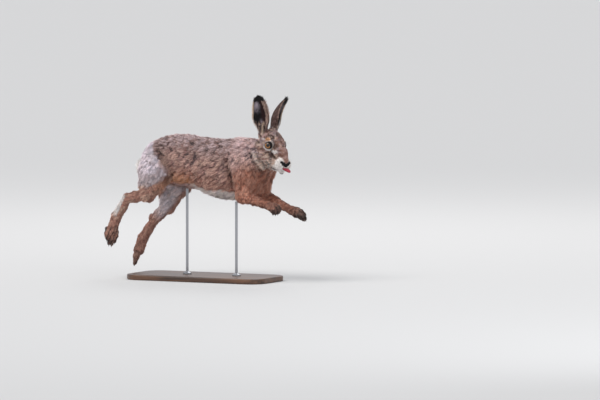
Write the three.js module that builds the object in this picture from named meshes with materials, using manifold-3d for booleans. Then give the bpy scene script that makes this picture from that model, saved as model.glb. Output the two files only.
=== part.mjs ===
import * as THREE from 'three';
import { mergeVertices } from 'three/addons/utils/BufferGeometryUtils.js';
import Module from 'manifold-3d';

// A brown hare at full stretch, life size, on a plain display stand.
// Millimetres, +Z up, +X the way the body runs, +Y its left side, origin under the middle of the base plate.
// The flesh is one smooth field, negative inside, blended from bones and ellipsoids. Each sub-part is a
// sphere whose vertices are thrown outwards from the sub-part's own axis until they meet that field.

const wasm = await Module();
wasm.setup();

// Driving sizes
const gap = 0.4;
const farBox = 1200;
const trunkFront = 172;
const trunkRear = -157;
const trunkCap = 20;
const eyeRadius = 10;
const earThickness = 3;
const baseLength = 400;
const baseWidth = 176;
const baseThickness = 14;
const rodRadius = 3.5;

// The head's own frame: origin between the eyes, x to the nose, y to the left, z up through the brow
const headAt = new THREE.Vector3(220.1, -21.2, 357.1);
const headTurn = THREE.MathUtils.degToRad(-25);
const headDip = THREE.MathUtils.degToRad(34);
const headRoll = THREE.MathUtils.degToRad(-4);
const headScale = 1.05;
const headFrame = new THREE.Matrix4()
  .makeRotationFromEuler(new THREE.Euler(headRoll, headDip, headTurn, 'ZYX'))
  .scale(new THREE.Vector3(headScale, headScale, headScale))
  .setPosition(headAt);
const intoHead = headFrame.clone().invert();

const point = (x, y, z) => new THREE.Vector3(x, y, z);
const lerp = THREE.MathUtils.lerp;
const clamp = THREE.MathUtils.clamp;

// Height of a smooth curve through (xs, ys) at x: cubic pieces whose slopes come from the neighbours
function curveAt(x, xs, ys) {
  const last = xs.length - 1;
  let i = 0;
  while (i < last - 1 && x > xs[i + 1]) i += 1;
  const slope = (j) => {
    const a = Math.max(j - 1, 0);
    const b = Math.min(j + 1, last);
    return (ys[b] - ys[a]) / (xs[b] - xs[a]);
  };
  const width = xs[i + 1] - xs[i];
  const t = clamp((x - xs[i]) / width, 0, 1);
  const t2 = t * t;
  const t3 = t2 * t;
  return (
    (2 * t3 - 3 * t2 + 1) * ys[i] +
    (t3 - 2 * t2 + t) * width * slope(i) +
    (3 * t2 - 2 * t3) * ys[i + 1] +
    (t3 - t2) * width * slope(i + 1)
  );
}

// Fields: each takes a point and gives about its distance from a surface, negative inside
const blend = (a, b, k) => Math.min(a, b) - Math.max(k - Math.abs(a - b), 0) ** 2 / (4 * k);
const grown = (field, by) => (p) => field(p) - by;

// Bones through the stations [point, radius], each blended into the next
function bones(stations, k = 6) {
  const q = new THREE.Vector3();
  const along = new THREE.Vector3();
  return (p) => {
    let d = Infinity;
    for (let i = 0; i + 1 < stations.length; i += 1) {
      const [a, ra] = stations[i];
      const [b, rb] = stations[i + 1];
      along.subVectors(b, a);
      q.subVectors(p, a);
      const h = clamp(q.dot(along) / along.lengthSq(), 0, 1);
      const far = q.addScaledVector(along, -h).length() - lerp(ra, rb, h);
      d = i ? blend(d, far, k) : far;
    }
    return d;
  };
}

function ellipsoid(centre, radii) {
  const q = new THREE.Vector3();
  return (p) => {
    q.subVectors(p, centre).divide(radii);
    const k0 = q.length();
    return (k0 * (k0 - 1)) / q.divide(radii).length();
  };
}

// Fields folded together one by one, each with its own width of blend
const fuse = (first, ...rest) => (p) => rest.reduce((d, [field, k]) => blend(d, field(p), k), first(p));
const mirrored = (field) => (p) => field(point(p.x, Math.abs(p.y), p.z));

// The trunk: height of back and belly and half width along X, with round caps at both ends
const trunkX = [trunkRear, -135, -100, -60, -20, 20, 55, 90, 125, 155, trunkFront];
const backZ = [340, 364, 378, 382, 379, 375, 373, 376, 377, 366, 350];
const bellyZ = [268, 252, 243, 238, 231, 217, 209, 207, 213, 230, 250];
const trunkHalfWidth = [34, 48, 55, 54, 55, 59, 61, 58, 51, 40, 30];

function trunk(p) {
  const x = clamp(p.x, trunkRear, trunkFront);
  const top = curveAt(x, trunkX, backZ);
  const bottom = curveAt(x, trunkX, bellyZ);
  const high = (top - bottom) / 2;
  const wide = curveAt(x, trunkX, trunkHalfWidth);
  const out = Math.hypot((p.z - (top + bottom) / 2) / high, p.y / wide, (p.x - x) / trunkCap);
  return (out - 1) * Math.min(high, wide);
}

// Joints of each leg. side is +1 on the left, which is the far side in the picture, and -1 on the right
const legs = {
  left: {
    side: 1,
    shoulder: point(152, 38, 288),
    elbow: point(150, 38, 224),
    wrist: point(237, 28, 188),
    knuckles: point(261, 28, 180),
    foreToes: point(274, 28, 165),
    foreRoll: 0,
    knee: point(-97, 46, 240),
    kneeRadius: 27,
    calf: point(-133, 47, 186),
    hock: point(-172, 46, 150),
    instep: point(-206, 46, 100),
    ball: point(-218, 46, 68),
    hindToes: point(-230, 46, 34),
    hindRoll: -0.35,
  },
  right: {
    side: -1,
    shoulder: point(137, -38, 288),
    elbow: point(134, -46, 226),
    wrist: point(221, -61, 203),
    knuckles: point(240, -63, 196),
    foreToes: point(241, -64, 187),
    foreRoll: 0.2,
    knee: point(-117, -50, 250),
    kneeRadius: 22,
    calf: point(-140, -52, 222),
    hock: point(-201, -50, 210),
    instep: point(-233, -50, 162),
    ball: point(-247, -50, 125),
    hindToes: point(-252, -50, 90),
    hindRoll: 0.8,
  },
};

function upperArm({ side, shoulder, elbow }) {
  return bones([
    [point(92, side * 30, 338), 20],
    [shoulder, 30],
    [elbow, 19],
  ], 14);
}

const forearm = ({ elbow, wrist }) =>
  bones([
    [elbow, 18],
    [elbow.clone().lerp(wrist, 0.4), 14.5],
    [wrist, 11],
  ]);

function thigh({ side, knee, kneeRadius }) {
  return bones([
    [point(-118, side * 34, 315), 45],
    [point(-123, side * 42, 280), 43],
    [knee, kneeRadius + 4],
  ], 16);
}

const hamstring = ({ side, calf }) =>
  bones([
    [point(-144, side * 30, 290), 29],
    [point(-146, side * 44, 250), 23],
    [calf, 18],
  ], 10);

const shank = ({ knee, kneeRadius, calf, hock }) =>
  bones([
    [knee, kneeRadius],
    [calf, 20],
    [calf.clone().lerp(hock, 0.62), 14.5],
    [hock, 14],
  ]);

// The head, in its own frame
const nosePoint = point(54, 0, -15.5);
const headField = mirrored(
  fuse(
    ellipsoid(point(-20, 0, 3), point(34, 26, 25)),
    [bones([[point(-4, 0, 1), 22], [point(24, 0, -4), 17.5], [point(44, 0, -12), 13]]), 8],
    [bones([[point(-32, 9, -26), 20], [point(2, 8, -36), 18], [point(31, 3, -36.5), 13.5], [point(50, 2, -36.6), 7.4]]), 8],
    [ellipsoid(point(-16, 17, -12), point(22, 12, 21)), 8],
    [ellipsoid(point(46, 12, -22.5), point(13.5, 12.5, 14)), 6],
    [bones([[point(38, 0, -36), 9], [point(55, 0, -38.5), 7]]), 3],
    [ellipsoid(point(-4, 21, 7.5), point(14, 6, 6)), 6],
    [bones([[point(-42, 12, 0), 16], [point(-53, 19, 14), 11.5]]), 8],
  ),
);

function head(p) {
  return headField(p.clone().applyMatrix4(intoHead)) * headScale;
}

const neck = bones([
  [point(118, 0, 316), 50],
  [point(150, -2, 326), 39],
  [point(180, -8, 334), 30],
], 16);

const sides = Object.values(legs);
const core = fuse(
  trunk,
  [neck, 22],
  [head, 10],
  ...sides.map((leg) => [thigh(leg), 20]),
  ...sides.map((leg) => [upperArm(leg), 16]),
);
const withHind = (leg) => fuse(core, [hamstring(leg), 10], [shank(leg), 10]);
const withFore = (leg) => fuse(core, [forearm(leg), 10]);

// A sphere geometry thrown onto a field: rows run along the axis curve, the first and last few round its ends
const marchShare = 0.6;
const halvings = 12;
const capShare = 0.12;

function reach(field, from, direction, farthest) {
  const p = new THREE.Vector3();
  const at = (s) => field(p.copy(from).addScaledVector(direction, s));
  let near = 0;
  let s = 0;
  for (let i = 0; i < 200 && s < farthest; i += 1) {
    const d = at(s);
    if (d >= 0) break;
    near = s;
    s += Math.max(-d * marchShare, 0.25);
  }
  let lo = near;
  let hi = Math.min(s, farthest);
  if (at(hi) < 0) return hi;
  for (let i = 0; i < halvings; i += 1) {
    const mid = (lo + hi) / 2;
    if (at(mid) < 0) lo = mid;
    else hi = mid;
  }
  return (lo + hi) / 2;
}

function wrap(field, axis, { around, rows, up = point(0, 0, 1), farthest = 120 }) {
  const curve = new THREE.CatmullRomCurve3(axis, false, 'centripetal');
  const ball = new THREE.SphereGeometry(1, around, rows);
  const place = ball.getAttribute('position');
  const v = new THREE.Vector3();
  for (let i = 0; i < place.count; i += 1) {
    v.fromBufferAttribute(place, i);
    const share = Math.acos(clamp(v.y, -1, 1)) / Math.PI;
    const turn = Math.atan2(v.z, v.x);
    const t = clamp((share - capShare) / (1 - 2 * capShare), 0, 1);
    const tangent = curve.getTangentAt(t);
    const across = new THREE.Vector3().crossVectors(tangent, up).normalize();
    const over = new THREE.Vector3().crossVectors(across, tangent);
    const tilt = share < capShare
      ? (share / capShare - 1)
      : Math.max((share - 1) / capShare + 1, 0);
    const radial = across.multiplyScalar(Math.cos(turn)).addScaledVector(over, -Math.sin(turn));
    const direction = radial
      .multiplyScalar(Math.cos((tilt * Math.PI) / 2))
      .addScaledVector(tangent, Math.sin((tilt * Math.PI) / 2))
      .normalize();
    const from = curve.getPointAt(t);
    const s = reach(field, from, direction, farthest);
    v.copy(from).addScaledVector(direction, s);
    place.setXYZ(i, v.x, v.y, v.z);
  }
  return ball;
}

// Closed geometries to manifold-3d solids and back
function solid(geometry) {
  const bare = geometry.index ? geometry.toNonIndexed() : geometry.clone();
  bare.deleteAttribute('normal');
  bare.deleteAttribute('uv');
  const merged = mergeVertices(bare, 1e-3);
  const made = new wasm.Manifold(new wasm.Mesh({
    numProp: 3,
    vertProperties: merged.getAttribute('position').array,
    triVerts: new Uint32Array(merged.index.array),
  }));
  if (made.volume() >= 0) return made;
  const turned = merged.index.array;
  for (let i = 0; i < turned.length; i += 3) [turned[i], turned[i + 1]] = [turned[i + 1], turned[i]];
  return solid(merged);
}

function largest(made) {
  return made.decompose().reduce((a, b) => (a.volume() > b.volume() ? a : b));
}

function geometryOf(made) {
  const mesh = made.getMesh();
  const count = mesh.numVert;
  const place = new Float32Array(count * 3);
  for (let i = 0; i < count; i += 1) {
    place.set(mesh.vertProperties.subarray(i * mesh.numProp, i * mesh.numProp + 3), i * 3);
  }
  const geometry = new THREE.BufferGeometry();
  geometry.setAttribute('position', new THREE.BufferAttribute(place, 3));
  geometry.setIndex(new THREE.BufferAttribute(mesh.triVerts, 1));
  return geometry.toNonIndexed();
}

// All that lies ahead of a plane through `at`, facing `facing`, starting `from` beyond it
function ahead(at, facing, from = 0) {
  const box = new THREE.BoxGeometry(farBox, farBox, farBox);
  box.translate(0, 0, farBox / 2 + from);
  box.applyQuaternion(new THREE.Quaternion().setFromUnitVectors(point(0, 0, 1), facing.clone().normalize()));
  box.translate(at.x, at.y, at.z);
  return solid(box);
}

const moved = (geometry, matrix) => solid(geometry.clone().applyMatrix4(matrix));
const inHead = (p) => p.clone().applyMatrix4(headFrame);
const stretch = (radius, sx, sy, sz, around = 14, rows = 10) =>
  new THREE.SphereGeometry(radius, around, rows).scale(sx, sy, sz);

const looks = {
  coat: new THREE.MeshStandardMaterial({ color: 0x8f7358, roughness: 0.95 }),
  rump: new THREE.MeshStandardMaterial({ color: 0x9d938f, roughness: 0.95 }),
  rufous: new THREE.MeshStandardMaterial({ color: 0x9a6a4a, roughness: 0.95 }),
  white: new THREE.MeshStandardMaterial({ color: 0xe9e4dd, roughness: 0.95 }),
  ear: new THREE.MeshStandardMaterial({ color: 0x5d4a41, roughness: 0.9 }),
  eye: new THREE.MeshStandardMaterial({ color: 0x9a5c1c, roughness: 0.1 }),
  nose: new THREE.MeshStandardMaterial({ color: 0x1b1717, roughness: 0.45 }),
  tongue: new THREE.MeshStandardMaterial({ color: 0xa82238, roughness: 0.3 }),
  base: new THREE.MeshStandardMaterial({ color: 0x3b2c22, roughness: 0.5 }),
  steel: new THREE.MeshStandardMaterial({ color: 0x8d9094, roughness: 0.35, metalness: 1 }),
};

const hare = new THREE.Group();
hare.name = 'brown_hare';

function add(name, made, material) {
  const mesh = new THREE.Mesh(geometryOf(largest(made)), material);
  mesh.name = name;
  hare.add(mesh);
  return mesh;
}

// Trunk: one skin from rump to breast, then thin cuts across it
const spine = [point(trunkRear + 30, 0, 306), point(-60, 0, 310), point(40, 0, 293), point(trunkFront - 38, 0, 292)];
const trunkMesh = { around: 20, rows: 24, farthest: 110 };
const trunkSkin = solid(wrap(core, spine, trunkMesh));
const trunkPast = solid(wrap(grown(core, gap), spine, trunkMesh));

// The outline of each limb's root, a little proud of the limb, is where it parts from the trunk
const rootProud = 3;
const rootGap = 0.6;
const rootWall = 8;
const thighAxis = (leg) => [point(-124, leg.side * 38, 300), point(-122, leg.side * 42, 270), leg.knee];
const armAxis = (leg) => [point(100, leg.side * 32, 328), leg.shoulder, leg.elbow];
const rootMesh = { around: 12, rows: 11, up: point(1, 0, 0), farthest: 100 };

function root(leg, limb, axis, past) {
  const side = point(0, leg.side, 0);
  return solid(wrap(grown(limb, rootProud + past), axis, rootMesh))
    .intersect(ahead(point(0, leg.side * rootWall, 0), side, -past));
}

const neckBase = { at: point(140, -1, 336), facing: point(0.84, -0.08, 0.5) };
const neckTop = { at: inHead(point(-36, 0, -16)), facing: point(1, -0.35, 0.15) };
const waist = { at: point(38, 0, 290), facing: point(1, 0, -0.05) };
const croup = { at: point(-72, 0, 300), facing: point(1, 0, 0.25) };

let body = trunkSkin;
for (const leg of sides) {
  body = body.subtract(root(leg, thigh(leg), thighAxis(leg), rootGap));
  body = body.subtract(root(leg, upperArm(leg), armAxis(leg), rootGap));
}
const behind = (cut) => body.subtract(ahead(cut.at, cut.facing, 0));
const between = (made, back, front) =>
  made.intersect(ahead(back.at, back.facing, gap)).subtract(ahead(front.at, front.facing, 0));

add('rump', behind(croup), looks.rump);
add('loin', between(body, croup, waist), looks.coat);
add('chest', between(body, waist, neckBase), looks.coat);

const neckAxis = [point(120, 0, 322), point(152, -2, 340), point(176, -6, 362), point(190, -12, 368)];
const neckMesh = { around: 16, rows: 10, up: point(0, 1, 0), farthest: 60 };
const neckPast = solid(wrap(grown(core, gap), neckAxis, neckMesh));
let neckSkin = solid(wrap(core, neckAxis, neckMesh));
for (const leg of sides) neckSkin = neckSkin.subtract(root(leg, upperArm(leg), armAxis(leg), rootGap));
add('neck', between(neckSkin, neckBase, neckTop), looks.coat);

// Head
const headAxis = [point(-40, 0, -2), point(-10, 0, -6), point(20, 0, -15), point(38, 0, -20)].map(inHead);
const headUp = point(0, 0, 1).transformDirection(headFrame);
const headMesh = { around: 24, rows: 28, up: headUp, farthest: 70 };
const headSkin = solid(wrap(core, headAxis, headMesh));
const headPast = solid(wrap(grown(core, gap), headAxis, headMesh));

// Broad and flat above, drawn in to a point below where it meets the cleft of the lip
function nose(past) {
  const shape = stretch(1, 7.5 + past, 13 + past, 7.5 + past, 12, 8);
  const place = shape.getAttribute('position');
  for (let i = 0; i < place.count; i += 1) {
    const drop = clamp((2 - place.getZ(i)) / 9, 0, 1);
    place.setXYZ(i, place.getX(i) + 2.5 * drop, place.getY(i) * (1 - 0.72 * drop), place.getZ(i));
  }
  shape.translate(nosePoint.x, nosePoint.y, nosePoint.z);
  return moved(shape, headFrame);
}
const mouthSlot = moved(
  stretch(1, 19, 14, 2, 14, 6),
  headFrame.clone().multiply(new THREE.Matrix4().makeTranslation(45, 0, -34)),
);
const tongueLine = [point(38, 2, -33), point(48, 5, -32), point(57, 10.5, -30.5), point(66, 17, -31.5)];
const tongueHalf = { wide: 5.8, high: 4.3 };
function tongue(past) {
  const shape = new THREE.SphereGeometry(1, 10, 12);
  const place = shape.getAttribute('position');
  const curve = new THREE.CatmullRomCurve3(tongueLine);
  const v = new THREE.Vector3();
  for (let i = 0; i < place.count; i += 1) {
    v.fromBufferAttribute(place, i);
    const along = clamp((1 - v.y) / 2, 0, 1);
    const centre = curve.getPointAt(along);
    place.setXYZ(
      i,
      centre.x - v.x * 2.5,
      centre.y + v.x * (tongueHalf.wide + past) - v.y * past,
      centre.z + v.z * (tongueHalf.high + past),
    );
  }
  return moved(shape, headFrame);
}

const sidesOfHead = { left: 1, right: -1 };
const eyeAt = (side) => point(-4.5, side * 22, -2);
const gaze = (side) => point(0.45, side, 0.12).normalize();
const eyeBall = (side, past) => {
  const at = eyeAt(side);
  return moved(
    new THREE.SphereGeometry(eyeRadius + past, 14, 10),
    headFrame.clone().multiply(new THREE.Matrix4().makeTranslation(at.x, at.y, at.z)),
  );
};

function lids(side) {
  const ring = new THREE.TorusGeometry(eyeRadius * 0.95, 2.2, 5, 16);
  ring.translate(0, 0, eyeRadius * 0.3);
  ring.applyQuaternion(new THREE.Quaternion().setFromUnitVectors(point(0, 0, 1), gaze(side)));
  const at = eyeAt(side);
  ring.translate(at.x, at.y, at.z);
  return moved(ring, headFrame);
}

function nostril(side) {
  const slit = stretch(1, 4, 1.2, 3, 8, 6);
  slit.rotateX(side * 0.6);
  slit.rotateZ(side * 0.5);
  slit.translate(nosePoint.x + 6, side * 5, nosePoint.z + 0.5);
  return moved(slit, headFrame);
}

let face = headSkin.intersect(ahead(neckTop.at, neckTop.facing, gap));
for (const side of Object.values(sidesOfHead)) {
  face = face.add(lids(side)).subtract(eyeBall(side, gap)).subtract(nostril(side));
}
face = face.subtract(nose(gap)).subtract(mouthSlot);
// The tongue's own shape moved a little each way clears its tip as well as its sides
for (const step of [[0, 0, 0], [1, 0, 0], [-1, 0, 0], [0, 1, 0], [0, -1, 0], [0, 0, 1], [0, 0, -1]]) {
  face = face.subtract(tongue(gap).translate(step.map((v) => v * gap)));
}
add('head', face, looks.coat);
add('nose', nose(0).subtract(nostril(1)).subtract(nostril(-1)), looks.nose);
add('tongue', tongue(0), looks.tongue);

// Ears: a leaf rolled to an arc, with an outer and an inner face. The right one opens to the side, the left one ahead
const ears = {
  left: { foot: point(-53, 19, 10), tip: point(-97, 57, 82), opening: point(0.62, 0.62, 0.44), width: 0.9 },
  right: { foot: point(-44, -21, 11), tip: point(-90, -45, 89), opening: point(0.4, -0.84, 0.35), width: 1 },
};
const earT = [0, 0.15, 0.3, 0.5, 0.75, 0.93, 1];
const earHalfWidth = [11, 15.5, 20.5, 20.5, 17, 10.5, 2];
const earArc = [2.3, 2.05, 1.75, 1.45, 1.1, 0.8, 0.7];
const earBack = [9, 14, 18, 18, 12, 4, 1];

function ear({ foot, tip, opening, width }) {
  const leaf = new THREE.BoxGeometry(2, 1, 1, 8, 12, 1);
  const place = leaf.getAttribute('position');
  const up = tip.clone().sub(foot);
  const long = up.length();
  up.normalize();
  const open = opening.clone().addScaledVector(up, -opening.dot(up)).normalize();
  const across = new THREE.Vector3().crossVectors(up, open);
  const v = new THREE.Vector3();
  for (let i = 0; i < place.count; i += 1) {
    v.fromBufferAttribute(place, i);
    const t = v.y + 0.5;
    const angle = curveAt(t, earT, earArc);
    const radius = (width * curveAt(t, earT, earHalfWidth)) / Math.sin(Math.min(angle, Math.PI / 2));
    const thin = earThickness * (1 - 0.5 * v.x * v.x) * (1 - 0.4 * t);
    const r = radius - (v.z + 0.5) * Math.min(thin, radius * 0.5);
    const turn = v.x * angle;
    const p = foot.clone()
      .addScaledVector(up, t * long)
      .addScaledVector(across, r * Math.sin(turn))
      .addScaledVector(open, radius - r * Math.cos(turn) - width * curveAt(t, earT, earBack));
    place.setXYZ(i, p.x, p.y, p.z);
  }
  return moved(leaf, headFrame);
}

for (const [name, side] of Object.entries(sidesOfHead)) {
  add('eye_' + name, eyeBall(side, 0), looks.eye);
  add('ear_' + name, ear(ears[name]).subtract(headPast).subtract(neckPast), looks.ear);
}

// Tail, hanging down the rump with its tip flicked back
const tailLine = [[point(-156, 0, 303), 14], [point(-177, 0, 297), 13], [point(-188, 0, 285), 9.5], [point(-195, 0, 274), 4]];
const tailSkin = solid(wrap(bones(tailLine, 4), tailLine.map(([p]) => p), { around: 10, rows: 10, up: point(1, 0, 0.2), farthest: 40 }));
add('tail', tailSkin.subtract(trunkPast), looks.white);

// Toes in a loop: a row of small bones across the end of a foot, each with a claw
function toes(root, tip, across, { count, spread, close, shorten, radius, claw: clawLength, clawUp }) {
  const made = [];
  const along = tip.clone().sub(root).normalize();
  for (let i = 0; i < count; i += 1) {
    const f = count > 1 ? i / (count - 1) - 0.5 : 0;
    const short = 1 - shorten * f * f;
    const start = root.clone().addScaledVector(across, f * spread * 0.8);
    const end = root.clone().lerp(tip, short).addScaledVector(across, f * spread * close);
    const mid = start.clone().lerp(end, 0.5).addScaledVector(clawUp, 1.5);
    const toe = bones([[start, radius], [mid, radius * 1.02], [end, radius * 0.72]], 3);
    made.push(solid(wrap(toe, [start, mid, end], { around: 6, rows: 6, up: clawUp, farthest: 20 })));
    const claw = new THREE.ConeGeometry(1.5, clawLength, 4);
    claw.translate(0, clawLength * 0.5 + radius * 0.45, 0);
    claw.applyQuaternion(new THREE.Quaternion().setFromUnitVectors(point(0, 1, 0), along));
    claw.translate(end.x, end.y, end.z);
    made.push(solid(claw));
  }
  return made.reduce((a, b) => a.add(b));
}

for (const [name, leg] of Object.entries(legs)) {
  const across = (from, to, roll) => {
    const along = to.clone().sub(from).normalize();
    const flat = new THREE.Vector3().crossVectors(point(0, 0, 1), along).normalize();
    return flat.applyAxisAngle(along, roll);
  };

  // Haunch and shank
  const thighRoot = (past) => root(leg, thigh(leg), thighAxis(leg), past);
  const hind = withHind(leg);
  const thighSkin = solid(wrap(hind, thighAxis(leg), { ...rootMesh, around: 14, rows: 14 }));
  add('thigh_' + name, thighSkin.intersect(thighRoot(0)), looks.coat);

  const hockFacing = leg.instep.clone().sub(leg.calf);
  const aboveHock = leg.hock.clone().lerp(leg.calf, 0.25);
  const hockCut = { at: aboveHock, facing: hockFacing };
  const shankAxis = [leg.knee, leg.calf, leg.hock.clone().lerp(leg.calf, 0.1)];
  const shankSkin = solid(wrap(hind, shankAxis, { around: 12, rows: 12, up: point(0, 1, 0), farthest: 55 }));
  add(
    'shank_' + name,
    shankSkin.subtract(thighRoot(gap)).subtract(trunkPast).subtract(ahead(hockCut.at, hockCut.facing, 0)),
    looks.rufous,
  );

  const footAcross = across(leg.hock, leg.ball, leg.hindRoll);
  const sole = new THREE.Vector3().crossVectors(leg.ball.clone().sub(leg.hock).normalize(), footAcross);
  const footWay = leg.ball.clone().sub(leg.hock).normalize();
  const heel = leg.hock.clone().addScaledVector(footWay, -4).addScaledVector(sole, 7);
  const footField = fuse(
    bones([
      [leg.hock.clone().lerp(leg.calf, 0.4), 14.5],
      [leg.hock, 13],
      [leg.hock.clone().lerp(leg.instep, 0.5), 13.5],
      [leg.instep, 14.5],
      [leg.ball, 15],
    ], 5),
    [bones([[leg.hock, 11], [heel, 10]]), 4],
  );
  const footAxis = [leg.hock.clone().lerp(leg.calf, 0.3), leg.hock, leg.instep, leg.ball];
  const footSkin = solid(wrap(footField, footAxis, { around: 10, rows: 14, up: footAcross, farthest: 40 }));
  const hindToes = toes(leg.ball, leg.hindToes, footAcross, {
    count: 4, spread: 30, close: 0.75, shorten: 1.3, radius: 8.5, claw: 6, clawUp: sole,
  });
  add(
    'hind_foot_' + name,
    footSkin.add(hindToes).intersect(ahead(hockCut.at, hockCut.facing, gap)),
    looks.rufous,
  );

  // Upper arm, forearm and paw
  const armRoot = (past) => root(leg, upperArm(leg), armAxis(leg), past);
  const fore = withFore(leg);
  const armSkin = solid(wrap(fore, armAxis(leg), { ...rootMesh, around: 14, rows: 14 }));
  add('upper_arm_' + name, armSkin.intersect(armRoot(0)), looks.rufous);

  const wristFacing = leg.knuckles.clone().sub(leg.elbow);
  const forearmAxis = [leg.elbow, leg.elbow.clone().lerp(leg.wrist, 0.5), leg.wrist];
  const forearmSkin = solid(wrap(fore, forearmAxis, { around: 10, rows: 12, up: point(0, 1, 0), farthest: 45 }));
  add(
    'forearm_' + name,
    forearmSkin.subtract(armRoot(gap)).subtract(trunkPast).subtract(ahead(leg.wrist, wristFacing, 0)),
    looks.rufous,
  );

  const pawAcross = across(leg.wrist, leg.knuckles, leg.foreRoll);
  const pawUp = new THREE.Vector3().crossVectors(leg.knuckles.clone().sub(leg.wrist).normalize(), pawAcross);
  const pawField = bones([[leg.wrist, 12], [leg.wrist.clone().lerp(leg.knuckles, 0.6), 14], [leg.knuckles, 14]], 4);
  const pawAxis = [leg.wrist.clone().lerp(leg.knuckles, -0.2), leg.wrist.clone().lerp(leg.knuckles, 0.5), leg.knuckles];
  const pawSkin = solid(wrap(pawField, pawAxis, { around: 10, rows: 8, up: pawAcross, farthest: 30 }));
  const foreToes = toes(leg.knuckles, leg.foreToes, pawAcross, {
    count: 4, spread: 22, close: 1.1, shorten: 0.9, radius: 7.5, claw: 4, clawUp: pawUp,
  });
  add(
    'forepaw_' + name,
    pawSkin.add(foreToes).intersect(ahead(leg.wrist, wristFacing, gap)),
    looks.rufous,
  );
}

// Display stand: an oblong plate with round corners and two steel rods up to the belly
const corner = 40;
const bevel = 3;
const half = { x: baseLength / 2 - bevel, y: baseWidth / 2 - bevel };
const outline = new THREE.Shape();
outline.moveTo(half.x - corner, -half.y);
outline.absarc(half.x - corner, -half.y + corner, corner, -Math.PI / 2, 0);
outline.absarc(half.x - corner, half.y - corner, corner, 0, Math.PI / 2);
outline.absarc(-half.x + corner, half.y - corner, corner, Math.PI / 2, Math.PI);
outline.absarc(-half.x + corner, -half.y + corner, corner, Math.PI, Math.PI * 1.5);
const plate = new THREE.ExtrudeGeometry(outline, {
  depth: baseThickness - 2 * bevel,
  bevelThickness: bevel,
  bevelSize: bevel,
  bevelSegments: 2,
  curveSegments: 6,
});
plate.translate(0, 0, bevel);
add('stand_base', solid(plate), looks.base);

const rodPlaces = { front: 92, rear: -52 };
for (const [name, x] of Object.entries(rodPlaces)) {
  const floor = baseThickness + gap;
  const profile = [
    [0, 0], [rodRadius * 3.2, 0], [rodRadius * 3.2, 3], [rodRadius * 1.6, 6], [rodRadius, 7], [rodRadius, 260], [0, 260],
  ].map(([r, z]) => new THREE.Vector2(r, z));
  const rod = new THREE.LatheGeometry(profile, 16);
  rod.rotateX(Math.PI / 2);
  rod.translate(x, 0, floor);
  add('stand_rod_' + name, solid(rod).subtract(trunkPast).intersect(ahead(point(0, 0, 300), point(0, 0, -1))), looks.steel);
}

export default hare;
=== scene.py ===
"""Brown hare in mid leap on its display stand: skin, coat, eyes, nose, tongue, claws and whiskers."""

import math

import bpy
import numpy as np
from mathutils import Matrix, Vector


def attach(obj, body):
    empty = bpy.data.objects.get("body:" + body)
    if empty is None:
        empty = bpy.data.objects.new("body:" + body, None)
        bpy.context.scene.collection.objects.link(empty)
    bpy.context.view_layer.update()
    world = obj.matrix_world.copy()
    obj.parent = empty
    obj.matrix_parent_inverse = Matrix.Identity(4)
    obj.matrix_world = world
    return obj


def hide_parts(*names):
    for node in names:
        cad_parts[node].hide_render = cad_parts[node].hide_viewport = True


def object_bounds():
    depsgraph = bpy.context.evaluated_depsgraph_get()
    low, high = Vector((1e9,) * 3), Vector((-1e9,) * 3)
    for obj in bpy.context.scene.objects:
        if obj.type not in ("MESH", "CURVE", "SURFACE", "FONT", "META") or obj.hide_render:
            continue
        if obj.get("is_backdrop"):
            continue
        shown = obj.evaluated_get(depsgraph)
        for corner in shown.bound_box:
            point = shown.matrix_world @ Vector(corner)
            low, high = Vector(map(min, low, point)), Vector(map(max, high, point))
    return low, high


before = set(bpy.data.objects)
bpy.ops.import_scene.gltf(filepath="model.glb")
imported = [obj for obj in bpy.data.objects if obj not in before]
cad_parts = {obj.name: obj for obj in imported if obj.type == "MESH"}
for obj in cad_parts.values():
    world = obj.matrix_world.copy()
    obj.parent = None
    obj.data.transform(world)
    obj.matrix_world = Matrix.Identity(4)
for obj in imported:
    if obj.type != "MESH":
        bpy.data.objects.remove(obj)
cad_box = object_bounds()
MM = 0.001
draw = np.random.default_rng(20)


def vec(*values):
    return np.array(values, dtype=float)


def unit(v):
    """Each row over its own length."""
    return v / np.maximum(np.linalg.norm(v, axis=-1, keepdims=True), 1e-9)


def smooth(low, high, x):
    """0 below low, 1 above high, and 3t^2 - 2t^3 between them."""
    t = np.clip((x - low) / (high - low), 0, 1)
    return t * t * (3 - 2 * t)


def curve_at(x, xs, ys):
    """Cubic pieces through (xs, ys), each slope the one between a station's two neighbours."""
    xs = np.array(xs, dtype=float)
    ys = np.array(ys, dtype=float)
    back = np.maximum(np.arange(len(xs)) - 1, 0)
    front = np.minimum(np.arange(len(xs)) + 1, len(xs) - 1)
    slope = (ys[front] - ys[back]) / (xs[front] - xs[back])
    i = np.clip(np.searchsorted(xs, x) - 1, 0, len(xs) - 2)
    w = xs[i + 1] - xs[i]
    t = np.clip((x - xs[i]) / w, 0, 1)
    return (
        (2 * t**3 - 3 * t**2 + 1) * ys[i]
        + (t**3 - 2 * t**2 + t) * w * slope[i]
        + (3 * t**2 - 2 * t**3) * ys[i + 1]
        + (t**3 - t**2) * w * slope[i + 1]
    )


# Noise on a lattice, from one whole-number scramble of the corner's place and a seed


def scramble(i, j, k, seed):
    """A number from 0 to 1 for each lattice corner: multiply, shift and fold the bits."""
    h = i.astype(np.int64) * 374761393 + j.astype(np.int64) * 668265263 + k.astype(np.int64) * 2147483647
    h = (h + seed * 1274126177) & 0xFFFFFFFF
    h = ((h ^ (h >> 13)) * 1103515245) & 0xFFFFFFFF
    h = ((h ^ (h >> 16)) * 668265263) & 0xFFFFFFFF
    return ((h ^ (h >> 15)) & 0xFFFFFF) / float(0xFFFFFF)


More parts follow.
